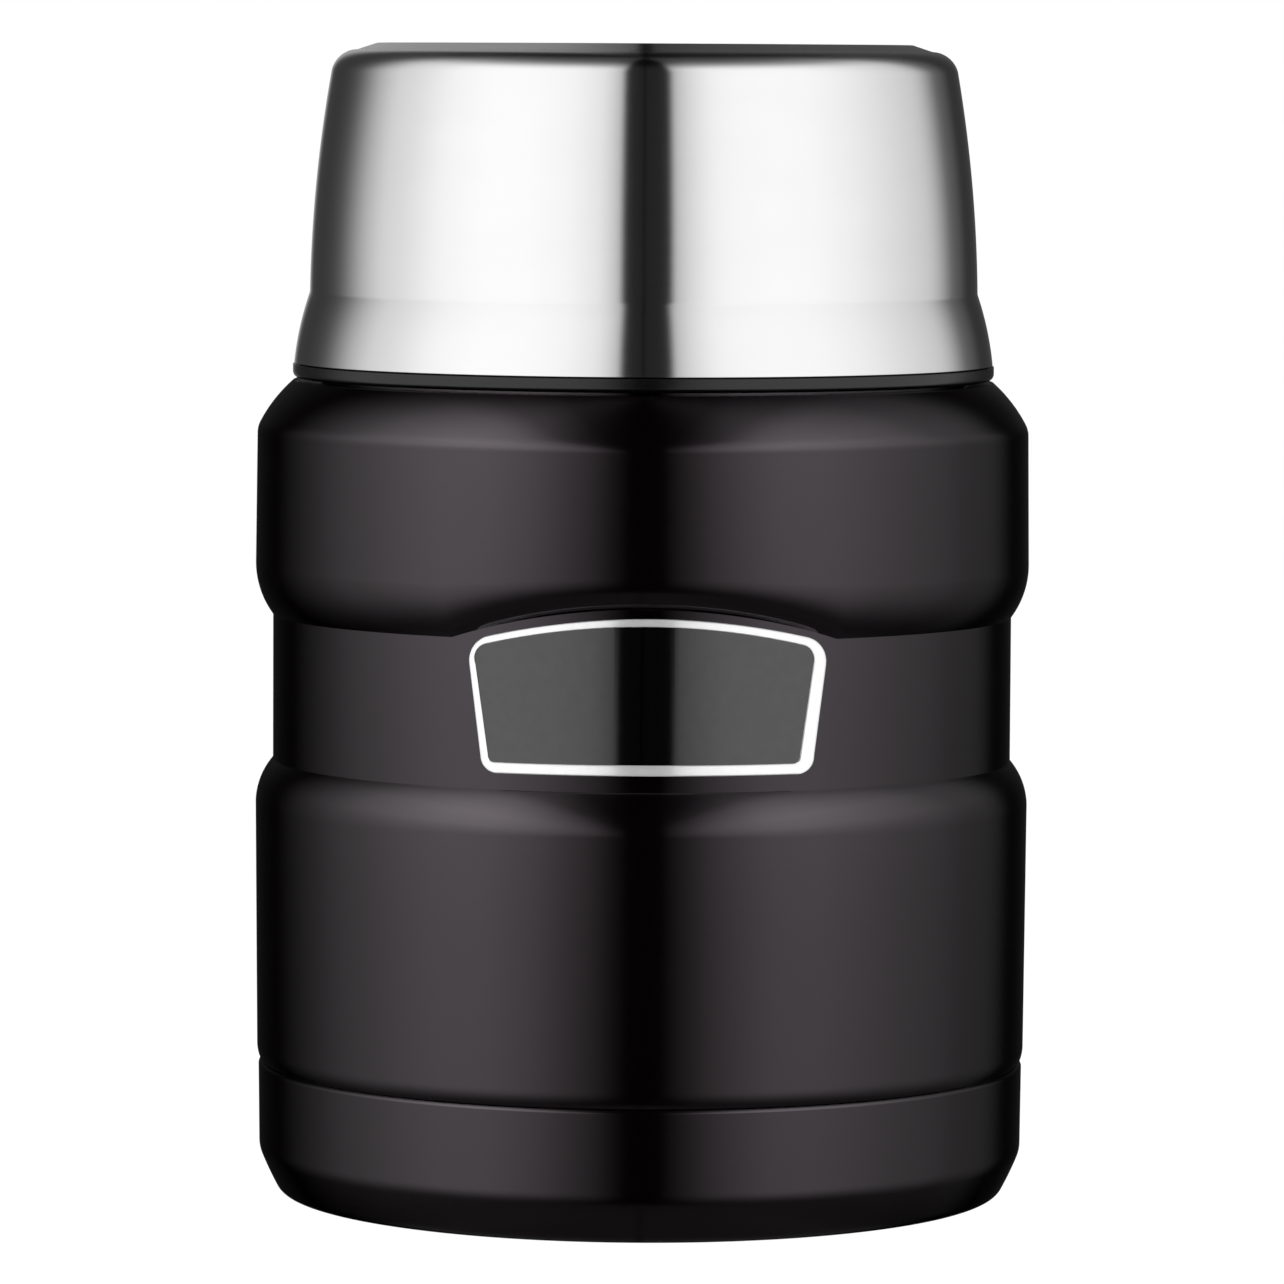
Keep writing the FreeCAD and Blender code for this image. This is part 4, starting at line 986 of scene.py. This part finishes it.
class JAR_OT_stage(bpy.types.Operator):
    """Sets up the camera, the screens, the pale floor, the drapes and the white surroundings"""

    bl_idname = "food_jar.stage"
    bl_label = "Stage"

    def execute(self, context):
        self.camera()
        self.surroundings()
        self.screens()
        self.drapes()
        context.scene.view_settings.view_transform = "Standard"
        return {"FINISHED"}

    def camera(self):
        data = bpy.data.cameras.new("camera")
        data.sensor_width = SENSOR_WIDTH
        data.lens = FOCAL_PIXELS * SENSOR_WIDTH / IMAGE_WIDTH
        obj = bpy.data.objects.new("camera", data)
        bpy.context.scene.collection.objects.link(obj)
        across, back = CAMERA_AWAY * math.sin(CAMERA_TURN), CAMERA_AWAY * math.cos(CAMERA_TURN)
        obj.location = (across, -back, CAMERA_HEIGHT)
        unrolled = Euler((math.pi / 2 - CAMERA_TILT, 0, CAMERA_TURN)).to_matrix()
        obj.rotation_euler = (unrolled @ Matrix.Rotation(CAMERA_ROLL, 3, "Z")).to_euler()
        bpy.context.scene.camera = obj

    def screens(self):
        """The screens, with the pieces and the floor shared out between the two lots of light."""
        steel = bpy.data.collections.new("lit_as_steel")
        lacquer = bpy.data.collections.new("lit_as_lacquer")
        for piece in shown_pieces():
            (steel if piece.name in STEEL_PIECES else lacquer).objects.link(piece)
        lacquer.objects.link(self.floor())
        for name, side, ramps, radius, receivers in (
            ("steel_screen_left", -1, (STEEL_LEFT, STEEL_UP, CURVED), STEEL_SCREEN, steel),
            ("steel_screen_right", 1, (STEEL_RIGHT, STEEL_UP, CURVED), STEEL_SCREEN, steel),
            ("lacquer_screen_left", -1, (LACQUER_LEFT, LACQUER_UP, LEFT_CURVE), LACQUER_SCREEN, lacquer),
            ("lacquer_screen_right", 1, (LACQUER_RIGHT, LACQUER_UP, RIGHT_CURVE), LACQUER_SCREEN, lacquer),
            ("floor_glow_left", -1, (FLOOR_ROUND, FLOOR_UP, CURVED), FLOOR_SCREEN, lacquer),
            ("floor_glow_right", 1, (FLOOR_ROUND, FLOOR_UP, CURVED), FLOOR_SCREEN, lacquer),
        ):
            screen(name, side, ramps, radius, receivers)

    def floor(self):
        """A pale floor that keeps a faint shadow of the jar. It can be seen through from below, and the jar
        mirrors the screens under it."""
        bm = bmesh.new()
        bmesh.ops.create_circle(bm, cap_ends=True, segments=128, radius=FLOOR_RADIUS)
        obj, nodes, surface = stage_object(bm, "floor")
        obj.visible_glossy = False
        obj.visible_shadow = False
        to_camera = nodes.add("ShaderNodeLightPath").outputs["Is Camera Ray"]
        top = nodes.between(
            nodes.math("MULTIPLY", to_camera, FLOOR_WHITE_SHARE),
            nodes.light("ShaderNodeBsdfDiffuse", grey(0.8)),
            nodes.light("ShaderNodeEmission", grey(1.0), FLOOR_WHITE),
        )
        from_below = nodes.add("ShaderNodeNewGeometry").outputs["Backfacing"]
        clear = nodes.add("ShaderNodeBsdfTransparent").outputs[0]
        nodes.link(nodes.between(from_below, top, clear), surface)
        return obj

    def drapes(self):
        """Black drapes all round, outside the lens's view, so that the finishes mirror only the screens. They
        part straight behind the jar, where the white surroundings show."""
        bm = bmesh.new()
        bmesh.ops.create_uvsphere(bm, u_segments=120, v_segments=60, radius=DRAPES_RADIUS)
        gap = []
        for face in bm.faces:
            x, y, z = face.calc_center_median()
            behind = y > 0 and abs(math.degrees(math.atan2(x, y))) < GAP_HALF
            if behind and GAP_LOW < z < GAP_HIGH:
                gap.append(face)
        bmesh.ops.delete(bm, geom=gap, context="FACES")
        obj, nodes, surface = stage_object(bm, "drapes")
        obj.visible_camera = False
        nodes.link(nodes.light("ShaderNodeBsdfDiffuse", grey(0.0)), surface)

    def surroundings(self):
        """White where the world is seen, mirrored or looked through, and nearly black as a light."""
        world = bpy.data.worlds.new("surroundings")
        bpy.context.scene.world = world
        world.use_nodes = True
        nodes = Nodes(world.node_tree)
        path = nodes.add("ShaderNodeLightPath")
        shown = path.outputs["Is Camera Ray"]
        for kind in ("Is Glossy Ray", "Is Transmission Ray"):
            shown = nodes.math("MAXIMUM", shown, path.outputs[kind])
        dim = nodes.light("ShaderNodeBackground", grey(0.002))
        white = nodes.light("ShaderNodeBackground", grey(1.0))
        output = nodes.add("ShaderNodeOutputWorld")
        nodes.link(nodes.between(shown, dim, white), output.inputs["Surface"])


class JAR_PT_panel(bpy.types.Panel):
    """Lists the food jar's sizes, colours and pieces"""

    bl_idname = "JAR_PT_panel"
    bl_label = "Food jar"
    bl_space_type = "VIEW_3D"
    bl_region_type = "UI"
    bl_category = "Food jar"

    def draw(self, context):
        for group in (sizes(), colours()):
            for name in group.bl_rna.properties.keys():
                if name not in ("rna_type", "name"):
                    self.layout.prop(group, name)
        for operator in OPERATORS:
            self.layout.operator(operator.bl_idname)


OPERATORS = (
    JAR_OT_shell, JAR_OT_base, JAR_OT_vessel, JAR_OT_badge, JAR_OT_stopper, JAR_OT_bowl,
    JAR_OT_hidden, JAR_OT_stage,
)
CLASSES = (JarSizes, JarColours, *OPERATORS, JAR_PT_panel)


def register():
    for cls in CLASSES:
        bpy.utils.register_class(cls)
    bpy.types.Scene.food_jar = bpy.props.PointerProperty(type=JarSizes)
    bpy.types.Scene.food_jar_colours = bpy.props.PointerProperty(type=JarColours)


def unregister():
    del bpy.types.Scene.food_jar_colours
    del bpy.types.Scene.food_jar
    for cls in reversed(CLASSES):
        bpy.utils.unregister_class(cls)


def main():
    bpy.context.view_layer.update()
    register()
    for operator in OPERATORS:
        group, name = operator.bl_idname.split(".")
        if getattr(getattr(bpy.ops, group), name)() != {"FINISHED"}:
            raise RuntimeError(f"{operator.bl_label} was not built")


if __name__ == "__main__":
    main()
